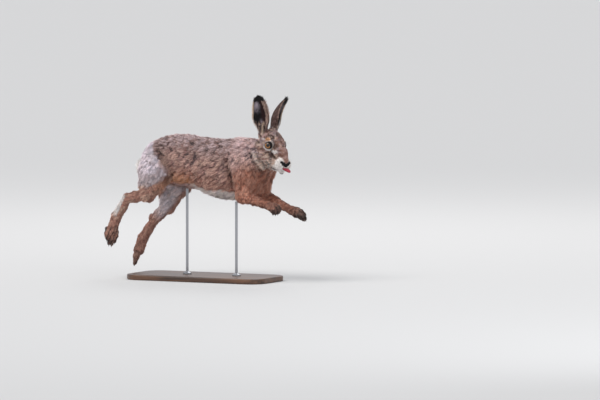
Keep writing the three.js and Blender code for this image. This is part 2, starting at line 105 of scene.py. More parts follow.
def noise(p, size, seed=0):
    """Values at the corners of a cubic lattice of the given size, blended smoothly between; -1 to 1."""
    q = p / size
    cell = np.floor(q).astype(np.int64)
    f = q - cell
    f = f * f * (3 - 2 * f)
    total = 0
    for a in (0, 1):
        for b in (0, 1):
            for c in (0, 1):
                share = (
                    (f[:, 0] if a else 1 - f[:, 0])
                    * (f[:, 1] if b else 1 - f[:, 1])
                    * (f[:, 2] if c else 1 - f[:, 2])
                )
                total = total + share * scramble(cell[:, 0] + a, cell[:, 1] + b, cell[:, 2] + c, seed)
    return total * 2 - 1


def nearest_seed(p, size, seed=0):
    """One seed point in every lattice cell; gives each point the nearest of them and that one's number."""
    cell = np.floor(p / size).astype(np.int64)
    best = np.full(len(p), np.inf)
    place = np.zeros_like(p)
    number = np.zeros(len(p))
    for a in (-1, 0, 1):
        for b in (-1, 0, 1):
            for c in (-1, 0, 1):
                i, j, k = cell[:, 0] + a, cell[:, 1] + b, cell[:, 2] + c
                spot = np.stack(
                    [
                        i + scramble(i, j, k, seed),
                        j + scramble(i, j, k, seed + 1),
                        k + scramble(i, j, k, seed + 2),
                    ],
                    axis=1,
                ) * size
                far = np.sum((spot - p) ** 2, axis=1)
                nearer = far < best
                best[nearer] = far[nearer]
                place[nearer] = spot[nearer]
                number[nearer] = scramble(i, j, k, seed + 3)[nearer]
    return place, number


# The animal's form as one field in millimetres, negative inside, the same as in the solids


def blend(a, b, k):
    """The lower of two fields, with a smooth fillet of width k between them."""
    return np.minimum(a, b) - np.maximum(k - np.abs(a - b), 0) ** 2 / (4 * k)


def bones(stations, k=6.0):
    """Rounded cones from each station (point, radius) to the next, blended together."""

    def field(p):
        d = None
        for (a, ra), (b, rb) in zip(stations[:-1], stations[1:]):
            along = b - a
            q = p - a
            h = np.clip(q @ along / (along @ along), 0, 1)
            far = np.linalg.norm(q - h[:, None] * along, axis=1) - (ra + (rb - ra) * h)
            d = far if d is None else blend(d, far, k)
        return d

    return field


def ellipsoid(centre, radii):
    """Distance from an ellipsoid: k0 (k0 - 1) / k1, the lengths over the radii and over their squares."""

    def field(p):
        q = (p - centre) / radii
        k0 = np.linalg.norm(q, axis=1)
        return k0 * (k0 - 1) / np.maximum(np.linalg.norm(q / radii, axis=1), 1e-9)

    return field


def fuse(first, *rest):
    """Fields folded together one by one, each with its own width of fillet."""

    def field(p):
        d = first(p)
        for other, k in rest:
            d = blend(d, other(p), k)
        return d

    return field


TRUNK_X = [-157, -135, -100, -60, -20, 20, 55, 90, 125, 155, 172]
BACK_Z = [340, 364, 378, 382, 379, 375, 373, 376, 377, 366, 350]
BELLY_Z = [268, 252, 243, 238, 231, 217, 209, 207, 213, 230, 250]
TRUNK_Y = [34, 48, 55, 54, 55, 59, 61, 58, 51, 40, 30]


def trunk(p):
    """An oval section whose top, bottom and half width are curves along x, with round ends."""
    x = np.clip(p[:, 0], TRUNK_X[0], TRUNK_X[-1])
    top = curve_at(x, TRUNK_X, BACK_Z)
    bottom = curve_at(x, TRUNK_X, BELLY_Z)
    wide = curve_at(x, TRUNK_X, TRUNK_Y)
    high = (top - bottom) / 2
    out = np.sqrt(
        ((p[:, 2] - (top + bottom) / 2) / high) ** 2 + (p[:, 1] / wide) ** 2 + ((p[:, 0] - x) / 20) ** 2
    )
    return (out - 1) * np.minimum(high, wide)


LEGS = {
    "left": dict(
        side=1, shoulder=vec(152, 38, 288), elbow=vec(150, 38, 224), wrist=vec(237, 28, 188),
        knuckles=vec(261, 28, 180), fore_toes=vec(274, 28, 165), fore_roll=0.0,
        knee=vec(-97, 46, 240), knee_radius=27, calf=vec(-133, 47, 186), hock=vec(-172, 46, 150),
        instep=vec(-206, 46, 100), ball=vec(-218, 46, 68), hind_toes=vec(-230, 46, 34), hind_roll=-0.35,
    ),
    "right": dict(
        side=-1, shoulder=vec(137, -38, 288), elbow=vec(134, -46, 226), wrist=vec(221, -61, 203),
        knuckles=vec(240, -63, 196), fore_toes=vec(241, -64, 187), fore_roll=0.2,
        knee=vec(-117, -50, 250), knee_radius=22, calf=vec(-140, -52, 222), hock=vec(-201, -50, 210),
        instep=vec(-233, -50, 162), ball=vec(-247, -50, 125), hind_toes=vec(-252, -50, 90), hind_roll=0.8,
    ),
}


def mix(a, b, t):
    return a + (b - a) * t


def turned(v, axis, angle):
    """v turned about a unit axis by Rodrigues' formula."""
    aside = np.cross(axis, v)
    return v * math.cos(angle) + aside * math.sin(angle) + axis * (axis @ v) * (1 - math.cos(angle))


def across_foot(start, end, roll):
    along = unit(end - start)
    return turned(unit(np.cross(vec(0, 0, 1), along)), along, roll)


def toe_rows(root, tip, across, spread, close, shorten, radius, lift, count=4):
    """Three points and a radius for each toe, side by side from root to tip, the outer ones shorter."""
    rows = []
    for i in range(count):
        f = i / (count - 1) - 0.5
        start = root + across * f * spread * 0.8
        end = mix(root, tip, 1 - shorten * f * f) + across * f * spread * close
        rows.append((start, mix(start, end, 0.5) + lift * 1.5, end, radius))
    return rows


# Head, in its own frame: origin between the eyes, x to the nose, y to the left, z up through the brow
HEAD_SCALE = 1.05
HEAD_AT = vec(220.1, -21.2, 357.1)
HEAD_TURN = np.array(
    (
        Matrix.Rotation(math.radians(-25), 3, "Z")
        @ Matrix.Rotation(math.radians(34), 3, "Y")
        @ Matrix.Rotation(math.radians(-4), 3, "X")
    )
)


def into_head(p):
    return (p - HEAD_AT) @ HEAD_TURN / HEAD_SCALE


def mirrored(q):
    """Both sides of the head laid on its left one."""
    m = q.copy()
    m[:, 1] = np.abs(m[:, 1])
    return m


def from_head(q):
    return (q * HEAD_SCALE) @ HEAD_TURN.T + HEAD_AT


head_parts = fuse(
    ellipsoid(vec(-20, 0, 3), vec(34, 26, 25)),
    (bones([(vec(-4, 0, 1), 22), (vec(24, 0, -4), 17.5), (vec(44, 0, -12), 13)]), 8),
    (
        bones(
            [
                (vec(-32, 9, -26), 20),
                (vec(2, 8, -36), 18),
                (vec(31, 3, -36.5), 13.5),
                (vec(50, 2, -36.6), 7.4),
            ]
        ),
        8,
    ),
    (ellipsoid(vec(-16, 17, -12), vec(22, 12, 21)), 8),
    (ellipsoid(vec(46, 12, -22.5), vec(13.5, 12.5, 14)), 6),
    (bones([(vec(38, 0, -36), 9), (vec(55, 0, -38.5), 7)]), 3),
    (ellipsoid(vec(-4, 21, 7.5), vec(14, 6, 6)), 6),
    (bones([(vec(-42, 12, 0), 16), (vec(-53, 19, 14), 11.5)]), 8),
)


def head(p):
    return head_parts(mirrored(into_head(p))) * HEAD_SCALE


neck = bones([(vec(118, 0, 316), 50), (vec(150, -2, 326), 39), (vec(180, -8, 334), 30)], 16)
TAIL_LINE = [
    (vec(-156, 0, 303), 14),
    (vec(-177, 0, 297), 13),
    (vec(-188, 0, 285), 9.5),
    (vec(-195, 0, 274), 4),
]
tail = bones(TAIL_LINE, 4)


def leg_fields(leg):
    """Each length of one side's legs as a field of its own."""
    side = leg["side"]
    wide = leg["knee_radius"]
    thigh = [(vec(-118, side * 34, 315), 45), (vec(-123, side * 42, 280), 43), (leg["knee"], wide + 4)]
    out = {
        "thigh": bones(thigh, 16),
        "hamstring": bones(
            [(vec(-144, side * 30, 290), 29), (vec(-146, side * 44, 250), 23), (leg["calf"], 18)], 10
        ),
        "shank": bones(
            [
                (leg["knee"], wide),
                (leg["calf"], 20),
                (mix(leg["calf"], leg["hock"], 0.62), 14.5),
                (leg["hock"], 14),
            ]
        ),
        "arm": bones([(vec(92, side * 30, 338), 20), (leg["shoulder"], 30), (leg["elbow"], 19)], 14),
        "forearm": bones(
            [(leg["elbow"], 18), (mix(leg["elbow"], leg["wrist"], 0.4), 14.5), (leg["wrist"], 11.5)]
        ),
    }
    foot_across = across_foot(leg["hock"], leg["ball"], leg["hind_roll"])
    foot_way = unit(leg["ball"] - leg["hock"])
    sole = np.cross(foot_way, foot_across)
    heel = leg["hock"] - foot_way * 4 + sole * 7
    out["foot"] = fuse(
        bones(
            [
                (mix(leg["hock"], leg["calf"], 0.4), 14.5),
                (leg["hock"], 13),
                (mix(leg["hock"], leg["instep"], 0.5), 13.5),
                (leg["instep"], 14.5),
                (leg["ball"], 15),
            ],
            5,
        ),
        (bones([(leg["hock"], 11), (heel, 10)]), 4),
    )
    leg["hind_rows"] = toe_rows(leg["ball"], leg["hind_toes"], foot_across, 30, 0.75, 1.3, 8.5, sole)
    leg["sole"] = sole
    leg["foot_across"] = foot_across
    paw_across = across_foot(leg["wrist"], leg["knuckles"], leg["fore_roll"])
    paw_up = np.cross(unit(leg["knuckles"] - leg["wrist"]), paw_across)
    out["paw"] = bones(
        [(leg["wrist"], 12), (mix(leg["wrist"], leg["knuckles"], 0.6), 14), (leg["knuckles"], 14)], 4
    )
    leg["fore_rows"] = toe_rows(leg["knuckles"], leg["fore_toes"], paw_across, 22, 1.1, 0.9, 7.5, paw_up)
    leg["paw_up"] = paw_up
    leg["paw_across"] = paw_across
    for name, rows in (("hind_toes", leg["hind_rows"]), ("fore_toes", leg["fore_rows"])):
        each = [bones([(a, r), (b, r * 1.02), (c, r * 0.72)], 3) for a, b, c, r in rows]
        out[name] = fuse(each[0], *[(toe, 1.2) for toe in each[1:]])
    return out


FIELDS = {"trunk": trunk, "neck": neck, "head": head, "tail": tail}
for leg_name, leg in LEGS.items():
    for part_name, part in leg_fields(leg).items():
        FIELDS[part_name + "_" + leg_name] = part
# The order in which the lengths are blended into the trunk, and the width of each one's fillet
FOLD = [("neck", 22), ("head", 10)]
FOLD += [("thigh_left", 20), ("thigh_right", 20), ("arm_left", 16), ("arm_right", 16)]
FOLD += [(part + "_" + name, 10) for name in LEGS for part in ("hamstring", "shank", "forearm")]
FOLD += [(part + "_" + name, 5) for name in LEGS for part in ("foot", "paw")]
FOLD += [(part + "_" + name, 3) for name in LEGS for part in ("hind_toes", "fore_toes")]
FOLD += [("tail", 6)]

# How deep the coat is over each length, in millimetres
COAT_DEPTH = {
    "trunk": 6.5, "neck": 7.0, "head": 3.0, "tail": 6.0, "thigh": 6.5, "hamstring": 5.5, "shank": 3.6,
    "arm": 5.5, "forearm": 3.0, "foot": 2.6, "paw": 2.4, "hind_toes": 1.9, "fore_toes": 1.8,
}


def part_of(name):
    return name.replace("_left", "").replace("_right", "")


def measure(p):
    """The whole form's field, each length's field, and their shares, which fall off over 7 mm."""
    each = {name: FIELDS[name](p) for name in FIELDS}
    whole = each["trunk"]
    for name, k in FOLD:
        whole = blend(whole, each[name], k)
    nearest = np.min(np.stack(list(each.values())), axis=0)
    shares = {name: np.exp(-(d - nearest) / 7.0) for name, d in each.items()}
    total = sum(shares.values())
    return whole, each, {name: s / total for name, s in shares.items()}


EYE_R = 10.0
EYE_AT = {side: vec(-4.5, side * 22, -2) for side in (1, -1)}
GAZE = {side: unit(vec(0.45, side, 0.12)) for side in (1, -1)}
NOSE_AT = vec(54, 0, -15.5)


# Muscles and creases of the flanks: a line in x and z, how far it stands out, and its half width.
# A crease stands out by less than 0
FOLDS = [
    ((95, 322), (107, 264), -3.6, 6.5),
    ((82, 318), (92, 262), 2.2, 9.0),
    ((44, 306), (72, 344), 2.6, 9.0),
    ((44, 298), (74, 300), -2.2, 5.0),
    ((50, 285), (78, 262), 1.8, 8.0),
    ((118, 330), (128, 276), 2.4, 12.0),
    ((-96, 316), (-71, 278), -3.2, 6.0),
    ((-71, 278), (-80, 252), -2.6, 5.0),
    ((-60, 272), (-30, 262), 2.0, 9.0),
    ((-118, 330), (-100, 300), 2.0, 16.0),
]


def folds(p):
    """Sum of bell curves of the distance from each line, on the flanks only, in millimetres outwards."""
    out = np.zeros(len(p))
    for start, end, high, wide in FOLDS:
        a = np.array(start, dtype=float)
        along = np.array(end, dtype=float) - a
        q = p[:, [0, 2]] - a
        h = np.clip(q @ along / (along @ along), 0, 1)
        far = np.linalg.norm(q - h[:, None] * along, axis=1)
        out += high * np.exp(-((far / wide) ** 2))
    return out * smooth(18, 40, np.abs(p[:, 1])) * smooth(195, 225, p[:, 2])


JAW = [(214, 790), (248, 880), (300, 950), (370, 1008), (455, 1032)]
BEHIND_JAW = [(180, 800), (214, 902), (272, 984), (352, 1044)]


def ruff(q):
    """A soft ridge along the edge of the cheek and a crease behind it, in millimetres outwards."""
    u, v = face_plane(q)
    return 2.6 * line_mask(u, v, JAW, 34) - 3.6 * line_mask(u, v, BEHIND_JAW, 26)


def skin_field(p):
    """The form less the coat's depth, with folds, lids, and the eyes, mouth and nose let into it."""
    whole, each, shares = measure(p)
    depth = sum(shares[name] * COAT_DEPTH[part_of(name)] for name in shares)
    q = into_head(p)
    muzzle = smooth(22, 44, q[:, 0]) * smooth(14, 4, each["head"])
    depth = depth * (1 - muzzle) + 1.6 * muzzle
    d = whole + depth - folds(p) * (1 - np.clip(shares["head"] * 2, 0, 1))
    d = d - ruff(q) * smooth(34, 20, each["head"]) * smooth(4, 14, np.abs(q[:, 1]))
    near = np.abs(each["head"]) < 30
    if near.any():
        h = q[near]
        e = d[near]
        for side in (1, -1):
            out = h - EYE_AT[side]
            axial = out @ GAZE[side]
            radial = np.linalg.norm(out - axial[:, None] * GAZE[side], axis=1)
            lid = np.hypot(radial - EYE_R * 0.87, axial - EYE_R * 0.5) - 2.2
            socket = EYE_R * 1.02 - np.linalg.norm(out, axis=1)
            e = blend(e, lid * HEAD_SCALE, 4)
            e = -blend(-e, -socket * HEAD_SCALE, 0.6)
        slot = ellipsoid(vec(57, 7, -32.0), vec(7, 9, 1.2))(h)
        e = -blend(-e, slot * HEAD_SCALE, 1.2)
        cleft = ellipsoid(vec(60, 0, -27), vec(5, 1.0, 8))(h)
        e = -blend(-e, cleft * HEAD_SCALE, 2.0)
        d[near] = e
    return d


# Skin: the field's zero on a lattice that is finer round the head, then drawn onto the field


def lattice(low, high, fine_low, fine_high, coarse, fine):
    """Steps from low to high, of size fine between fine_low and fine_high and coarse elsewhere."""
    a = np.arange(low, fine_low, coarse)
    b = np.arange(fine_low, fine_high, fine)
    c = np.arange(fine_high, high + coarse, coarse)
    return np.concatenate([a, b, c])


# The field is worked out exactly where its rough value is below NEAR_ZERO, in lots of AT_ONCE places
NEAR_ZERO = 14
AT_ONCE = 300000


def wrap_field(field, xs, ys, zs):
    """One vertex in each lattice cell that the zero crosses, at the mean of its edge crossings."""
    shape = (len(xs), len(ys), len(zs))
    values = np.empty(shape)
    step = 3
    rough = [np.append(a[:-1:step], a[-1]) for a in (xs, ys, zs)]
    rough_grid = np.stack(np.meshgrid(*rough, indexing="ij"), axis=-1).reshape(-1, 3)
    rough_values = field(rough_grid).reshape([len(a) for a in rough])
    picks = [np.minimum((np.arange(n) + step // 2) // step, len(a) - 1) for n, a in zip(shape, rough)]
    values[:] = rough_values[np.ix_(*picks)]
    close = np.argwhere(np.abs(values) < NEAR_ZERO)
    spots = np.stack([xs[close[:, 0]], ys[close[:, 1]], zs[close[:, 2]]], axis=1)
    for start in range(0, len(close), AT_ONCE):
        part = slice(start, start + AT_ONCE)
        values[close[part, 0], close[part, 1], close[part, 2]] = field(spots[part])
    inside = values < 0
    corners = np.zeros([n - 1 for n in shape], dtype=np.int8)
    for a in (0, 1):
        for b in (0, 1):
            for c in (0, 1):
                corners += inside[a:shape[0] - 1 + a, b:shape[1] - 1 + b, c:shape[2] - 1 + c]
    active = (corners > 0) & (corners < 8)
    cells = np.argwhere(active)
    number = np.full(active.shape, -1, dtype=np.int64)
    number[active] = np.arange(len(cells))
    steps = (xs, ys, zs)
    total = np.zeros((len(cells), 3))
    count = np.zeros(len(cells))
    for axis in range(3):
        others = [i for i in range(3) if i != axis]
        for a in (0, 1):
            for b in (0, 1):
                start = cells.copy()
                start[:, others[0]] += a
                start[:, others[1]] += b
                end = start.copy()
                end[:, axis] += 1
                v0 = values[tuple(start.T)]
                v1 = values[tuple(end.T)]
                cross = (v0 < 0) != (v1 < 0)
                t = np.where(cross, v0 / np.where(cross, v0 - v1, 1), 0)
                spot = np.stack([steps[i][start[:, i]] for i in range(3)], axis=1)
                spot[:, axis] += t * (steps[axis][end[:, axis]] - steps[axis][start[:, axis]])
                total += np.where(cross[:, None], spot, 0)
                count += cross
    verts = total / count[:, None]
    quads = []
    for axis in range(3):
        b, c = [(axis + 1) % 3, (axis + 2) % 3]
        low = [slice(None)] * 3
        high = [slice(None)] * 3
        low[axis] = slice(0, shape[axis] - 1)
        high[axis] = slice(1, shape[axis])
        change = inside[tuple(low)] != inside[tuple(high)]
        edges = np.argwhere(change)
        edges = edges[(edges[:, b] > 0) & (edges[:, c] > 0)]
        edges = edges[(edges[:, b] < shape[b] - 1) & (edges[:, c] < shape[c] - 1)]
        ring = []
        for db, dc in ((-1, -1), (0, -1), (0, 0), (-1, 0)):
            cell = edges.copy()
            cell[:, b] += db
            cell[:, c] += dc
            ring.append(number[tuple(cell.T)])
        ring = np.stack(ring, axis=1)
        outward = inside[tuple(edges.T)]
        ring[~outward] = ring[~outward][:, ::-1]
        quads.append(ring)
    return verts, np.concatenate(quads)


def gradient(field, p, step=0.4):
    """Slope of the field by central differences."""
    out = np.empty_like(p)
    for axis in range(3):
        shift = np.zeros(3)
        shift[axis] = step
        out[:, axis] = (field(p + shift) - field(p - shift)) / (2 * step)
    return out


def drawn_on(field, p, rounds=2):
    """Newton steps p - F grad F / |grad F|^2, each held under 1.5 mm."""
    for _ in range(rounds):
        slope = gradient(field, p)
        move = -field(p)[:, None] * slope / np.maximum(np.sum(slope**2, axis=1, keepdims=True), 0.2)
        far = np.linalg.norm(move, axis=1, keepdims=True)
        p = p + move * np.minimum(1, 1.5 / np.maximum(far, 1e-9))
    return p


# Ears: a leaf rolled to an arc. The right one opens to the side, the left one ahead
EARS = {
    "left": dict(foot=vec(-53, 19, 10), tip=vec(-97, 57, 82), opening=vec(0.62, 0.62, 0.44), width=0.9),
    "right": dict(foot=vec(-44, -21, 11), tip=vec(-90, -45, 89), opening=vec(0.4, -0.84, 0.35), width=1.0),
}
EAR_T = [0, 0.15, 0.3, 0.5, 0.75, 0.93, 1]
EAR_HALF_WIDTH = [11, 15.5, 20.5, 20.5, 17, 10.5, 2]
EAR_ARC = [2.3, 2.05, 1.75, 1.45, 1.1, 0.8, 0.7]
EAR_BACK = [9, 14, 18, 18, 12, 4, 1]
EAR_THICK = 2.6


def ear_point(ear, a, t, layer):
    """Across the arc by a from -1 to 1, up the ear by t, and inwards by layer of its thickness."""
    up = ear["tip"] - ear["foot"]
    long = np.linalg.norm(up)
    up = up / long
    opening = ear["opening"] - up * (ear["opening"] @ up)
    opening = opening / np.linalg.norm(opening)
    across = np.cross(up, opening)
    angle = curve_at(t, EAR_T, EAR_ARC)
    radius = ear["width"] * curve_at(t, EAR_T, EAR_HALF_WIDTH) / np.sin(np.minimum(angle, math.pi / 2))
    thin = EAR_THICK * (1 - 0.6 * a * a) * (1 - 0.5 * t)
    inset = 0.5 * np.minimum(1, radius / 6)
    r = radius - inset - layer * np.minimum(thin, radius * 0.45)
    turn = a * angle * (1 - 0.015 * layer)
    back = radius - r * np.cos(turn) - ear["width"] * curve_at(t, EAR_T, EAR_BACK)
    q = (
        ear["foot"]
        + (t * long * 0.97)[:, None] * up
        + (r * np.sin(turn))[:, None] * across
        + back[:, None] * opening
    )
    return from_head(q)


def ring_quads(rows, around, flipped=False):
    """Quads between rings of corners that lie row by row, the last corner of a ring joined to its first."""
    i, j = np.meshgrid(np.arange(rows - 1), np.arange(around), indexing="ij")
    row = i * around
    nxt = (j + 1) % around
    ring = [row + j, row + nxt, row + around + nxt, row + around + j]
    if flipped:
        ring = [ring[0], ring[3], ring[2], ring[1]]
    return np.stack(ring, axis=-1).reshape(-1, 4)


def ear_sheet(ear, rows=64, columns=44):
    """A grid over the outer face, round the margin, and back over the inner face: one closed sheet."""
    a_out = np.sin(np.linspace(-0.5, 0.5, columns) * math.pi)
    a = np.concatenate([a_out, a_out[::-1]])
    layer = np.concatenate([np.zeros(columns), np.ones(columns)])
    t = 1 - (1 - np.linspace(0, 1, rows)) ** 1.15
    grid_t, grid_a = np.meshgrid(t, a, indexing="ij")
    _, grid_layer = np.meshgrid(t, layer, indexing="ij")
    verts = ear_point(ear, grid_a.ravel(), grid_t.ravel(), grid_layer.ravel())
    marks = np.stack([grid_a.ravel(), grid_t.ravel(), grid_layer.ravel()], axis=1)
    return verts, ring_quads(rows, len(a)), marks


# Colours, as a person reads them off the animal


def paint(r, g, b):
    """Screen values from 0 to 255 as linear light."""
    c = np.array([r, g, b]) / 255.0
    return np.where(c <= 0.04045, c / 12.92, ((c + 0.055) / 1.055) ** 2.4)


BUFF = paint(196, 160, 154)
SAND = paint(200, 152, 138)
RUFOUS = paint(190, 124, 98)
ORANGE = paint(200, 134, 88)
UMBER = paint(112, 84, 74)
DARK = paint(56, 42, 40)
SOOT = paint(22, 18, 19)
GREY = paint(208, 196, 208)
PALE_GREY = paint(224, 214, 220)
WHITE = paint(240, 235, 231)
CREAM = paint(232, 208, 182)
TAN = paint(222, 166, 118)
MAROON = paint(58, 28, 30)


def over(base, colour, mask):
    return base * (1 - mask[:, None]) + colour * mask[:, None]


def spot(q, centre, radii, edge=0.5):
    """1 inside an ellipsoid, falling to 0 over its outer share."""
    far = np.linalg.norm((q - centre) / radii, axis=1)
    return 1 - smooth(1 - edge, 1 + edge, far)


def dashes(p, size=1.0):
    """Short wavy dark and light strokes that slant up and forwards over the flank; -1 to 1."""
    bend = np.stack([noise(p, 16, 31), noise(p, 16, 32), noise(p, 16, 33)], axis=1) * 5
    q = p + bend
    along = (0.82 * q[:, 0] + 0.57 * q[:, 2]) / 10
    across = (-0.57 * q[:, 0] + 0.82 * q[:, 2]) / 4.2
    slant = np.stack([along, across, q[:, 1] / 7], axis=1)
    return noise(slant / size, 1.0, 34) * 0.75 + noise(p, 3.4 * size, 35) * 0.5


def line_mask(u, v, points, wide):
    """1 along a broken line in a plane, falling off as a bell curve of the distance over wide."""
    best = np.full(len(u), np.inf)
    for (u0, v0), (u1, v1) in zip(points[:-1], points[1:]):
        du, dv = u1 - u0, v1 - v0
        h = np.clip(((u - u0) * du + (v - v0) * dv) / (du * du + dv * dv), 0, 1)
        best = np.minimum(best, np.hypot(u - u0 - h * du, v - v0 - h * dv))
    return np.exp(-((best / wide) ** 2))


def oval(u, v, centre, radii, edge=0.35):
    far = np.hypot((u - centre[0]) / radii[0], (v - centre[1]) / radii[1])
    return 1 - smooth(1 - edge, 1 + edge, far)


# The front edge of the rump's pale patch, as heights and the x at each
RUMP_EDGE_Z = [244, 260, 274, 288, 304, 330, 355, 368]
RUMP_EDGE_X = [-128, -100, -88, -86, -93, -103, -122, -138]


def markings(p, shares):
    """The coat's colour and how grizzled it is at each place, from the shares of the body's lengths."""
    n = len(p)
    x, y, z = p[:, 0], p[:, 1], p[:, 2]
    wave = noise(p, 26, 3) * 0.6 + noise(p, 11, 4) * 0.4
    ragged = noise(p, 6, 5)
    stroke = dashes(p)
    colour = np.tile(BUFF, (n, 1))
    grizzle = np.ones(n)
    top = curve_at(np.clip(x, -157, 172), TRUNK_X, BACK_Z)
    bottom = curve_at(np.clip(x, -157, 172), TRUNK_X, BELLY_Z)
    up = (z - bottom) / (top - bottom)
    # Pale pink nape: partly the neck's own pale colour, partly a painted highlight where light falls on the
    # top of the neck.
    pale_lit_nape = smooth(84, 118, x) * smooth(0.45, 0.65, up)
    colour = over(colour, mix(BUFF, UMBER, 0.4), smooth(0.5, 0.85, up + wave * 0.16) * (1 - pale_lit_nape))
    colour = over(colour, paint(240, 202, 196), pale_lit_nape * 0.95)
    colour = over(colour, mix(SAND, RUFOUS, 0.4), smooth(0.62, 0.3, up + wave * 0.16) * 0.9)
    colour = colour * vec(0.84, 0.74, 0.72) ** (smooth(0.86, 0.74, up) * (1 - pale_lit_nape))[:, None]
    fore = shares["arm_left"] + shares["arm_right"] + shares["forearm_left"] + shares["forearm_right"]
    chest = smooth(112, 160, x) * smooth(335, 285, z)
    rufous = np.clip(np.maximum(fore * smooth(318, 270, z), chest), 0, 1)
    colour = over(colour, RUFOUS, rufous * 0.85)
    grizzle = grizzle * (1 - 0.5 * rufous)
    # Dark line behind the shoulder along the crease in the skin: partly dark fur, partly painted shade in the
    # crease.
    crease_fur_and_shade = line_mask(x, z, [(95, 322), (107, 264)], 7) * smooth(18, 40, np.abs(y))
    colour = over(colour, UMBER, crease_fur_and_shade * 0.7)
    flank_fold = line_mask(x, z, [(-84, 252), (-60, 264), (-30, 258)], 20) * smooth(16, 36, np.abs(y))
    colour = over(colour, ORANGE, np.clip(flank_fold * 0.95 + ragged * 0.1 * flank_fold, 0, 1))
    grizzle = grizzle * (1 - 0.5 * flank_fold)

    # Pale grey rump, with a dark edge towards the flank
    rump_line = curve_at(z, RUMP_EDGE_Z, RUMP_EDGE_X) + wave * 4 + ragged * 2.5
    aside = smooth(8, 26, np.abs(y)) + smooth(-146, -156, x) * smooth(345, 325, z)
    rump = smooth(4, -4, x - rump_line) * smooth(236, 250, z + wave * 5) * np.clip(aside, 0, 1)
    edge = np.exp(-(((x - rump_line - 10) / 9) ** 2)) * smooth(250, 262, z) * smooth(368, 340, z)
    colour = over(colour, mix(UMBER, DARK, 0.35), edge * 0.6 * smooth(20, 40, np.abs(y)))
    patch = np.tile(paint(238, 229, 238), (n, 1))
    patch = over(patch, mix(PALE_GREY, UMBER, 0.5), smooth(302, 262, z + wave * 12) * 0.85)
    patch = over(patch, mix(GREY, UMBER, 0.55), smooth(0.1, 0.5, noise(p * vec(1, 1, 0.6), 5, 6)) * 0.6)
    patch = over(patch, paint(246, 238, 242), smooth(0.1, 0.6, noise(p * vec(1, 1, 0.6), 6, 7)) * 0.4)
    colour = over(colour, patch, rump * 0.97)
    grizzle = grizzle * (1 - 0.75 * rump)
    stroke_depth = mix(1.0, 0.7, smooth(0.75, 0.35, up)) * (1 - 0.35 * rufous) * (1 - 0.7 * rump)
    stroke_depth = stroke_depth * (1 - 0.5 * flank_fold)

    white_line = curve_at(x, [-60, -22, 10, 40, 100, 125], [252, 256, 247, 242, 241, 226])
    belly = smooth(3, -3, z - white_line - ragged * 3 - wave * 2)
    belly = belly * smooth(-100, -84, x) * smooth(132, 116, x)
    belly = np.maximum(belly, smooth(30, 12, np.abs(y)) * smooth(270, 250, z) * smooth(130, 105, x))
    belly = belly * (1 - smooth(0.3, 0.8, fore)) * smooth(-170, -150, x)
    leg_share = sum(shares[a + "_" + b] for a in ("shank", "foot", "hind_toes") for b in LEGS)
    belly = belly * (1 - smooth(0.2, 0.5, leg_share))
    # Painted shade: the belly's white darkens downwards towards the underside. Behind the middle the
    # underside is brown, partly its own colour and partly painted shade.
    under = mix(paint(228, 218, 212), paint(186, 176, 170), smooth(white_line, white_line - 26, z)[:, None])
    under = mix(under, mix(SAND, UMBER, 0.55), smooth(4, -24, x)[:, None])
    colour = colour * (1 - belly[:, None]) + under * belly[:, None]
    colour = over(colour, mix(GREY, UMBER, 0.3), belly * smooth(0, 0.5, noise(p, 6, 12)) * 0.5)
    grizzle = grizzle * (1 - 0.9 * belly)
    stroke_depth = stroke_depth * (1 - 0.8 * belly)
    colour, grizzle, stroke_depth = leg_markings(p, shares, colour, grizzle, stroke_depth, wave)

    tail_share = np.clip(shares["tail"] * 1.6, 0, 1) * smooth(-160, -170, x)
    black = smooth(7, 11, (p - vec(-180, 0, 292)) @ unit(vec(-0.6, 0, 0.8))) * smooth(6, 3, np.abs(y))
    colour = over(colour, WHITE, tail_share)
    colour = over(colour, SOOT, black * tail_share * smooth(278, 286, z))
    grizzle = grizzle * (1 - tail_share)
    stroke_depth = stroke_depth * (1 - tail_share)
    colour, grizzle, stroke_depth = face_markings(p, shares, colour, grizzle, stroke_depth)
    dark = smooth(0.02, 0.34, stroke) * stroke_depth
    light = smooth(-0.04, -0.34, stroke) * stroke_depth
    colour = colour * (1 - vec(0.85, 0.86, 0.8) * dark[:, None])
    # The light dashes are pale hair; towards the top of the back they turn lavender-white as a painted
    # highlight of bluish light from above.
    pale_dash_and_sheen = mix(paint(232, 194, 174), paint(240, 220, 226), smooth(0.6, 0.9, up)[:, None])
    colour = colour + (pale_dash_and_sheen - colour) * (0.55 * light[:, None])
    return colour, grizzle


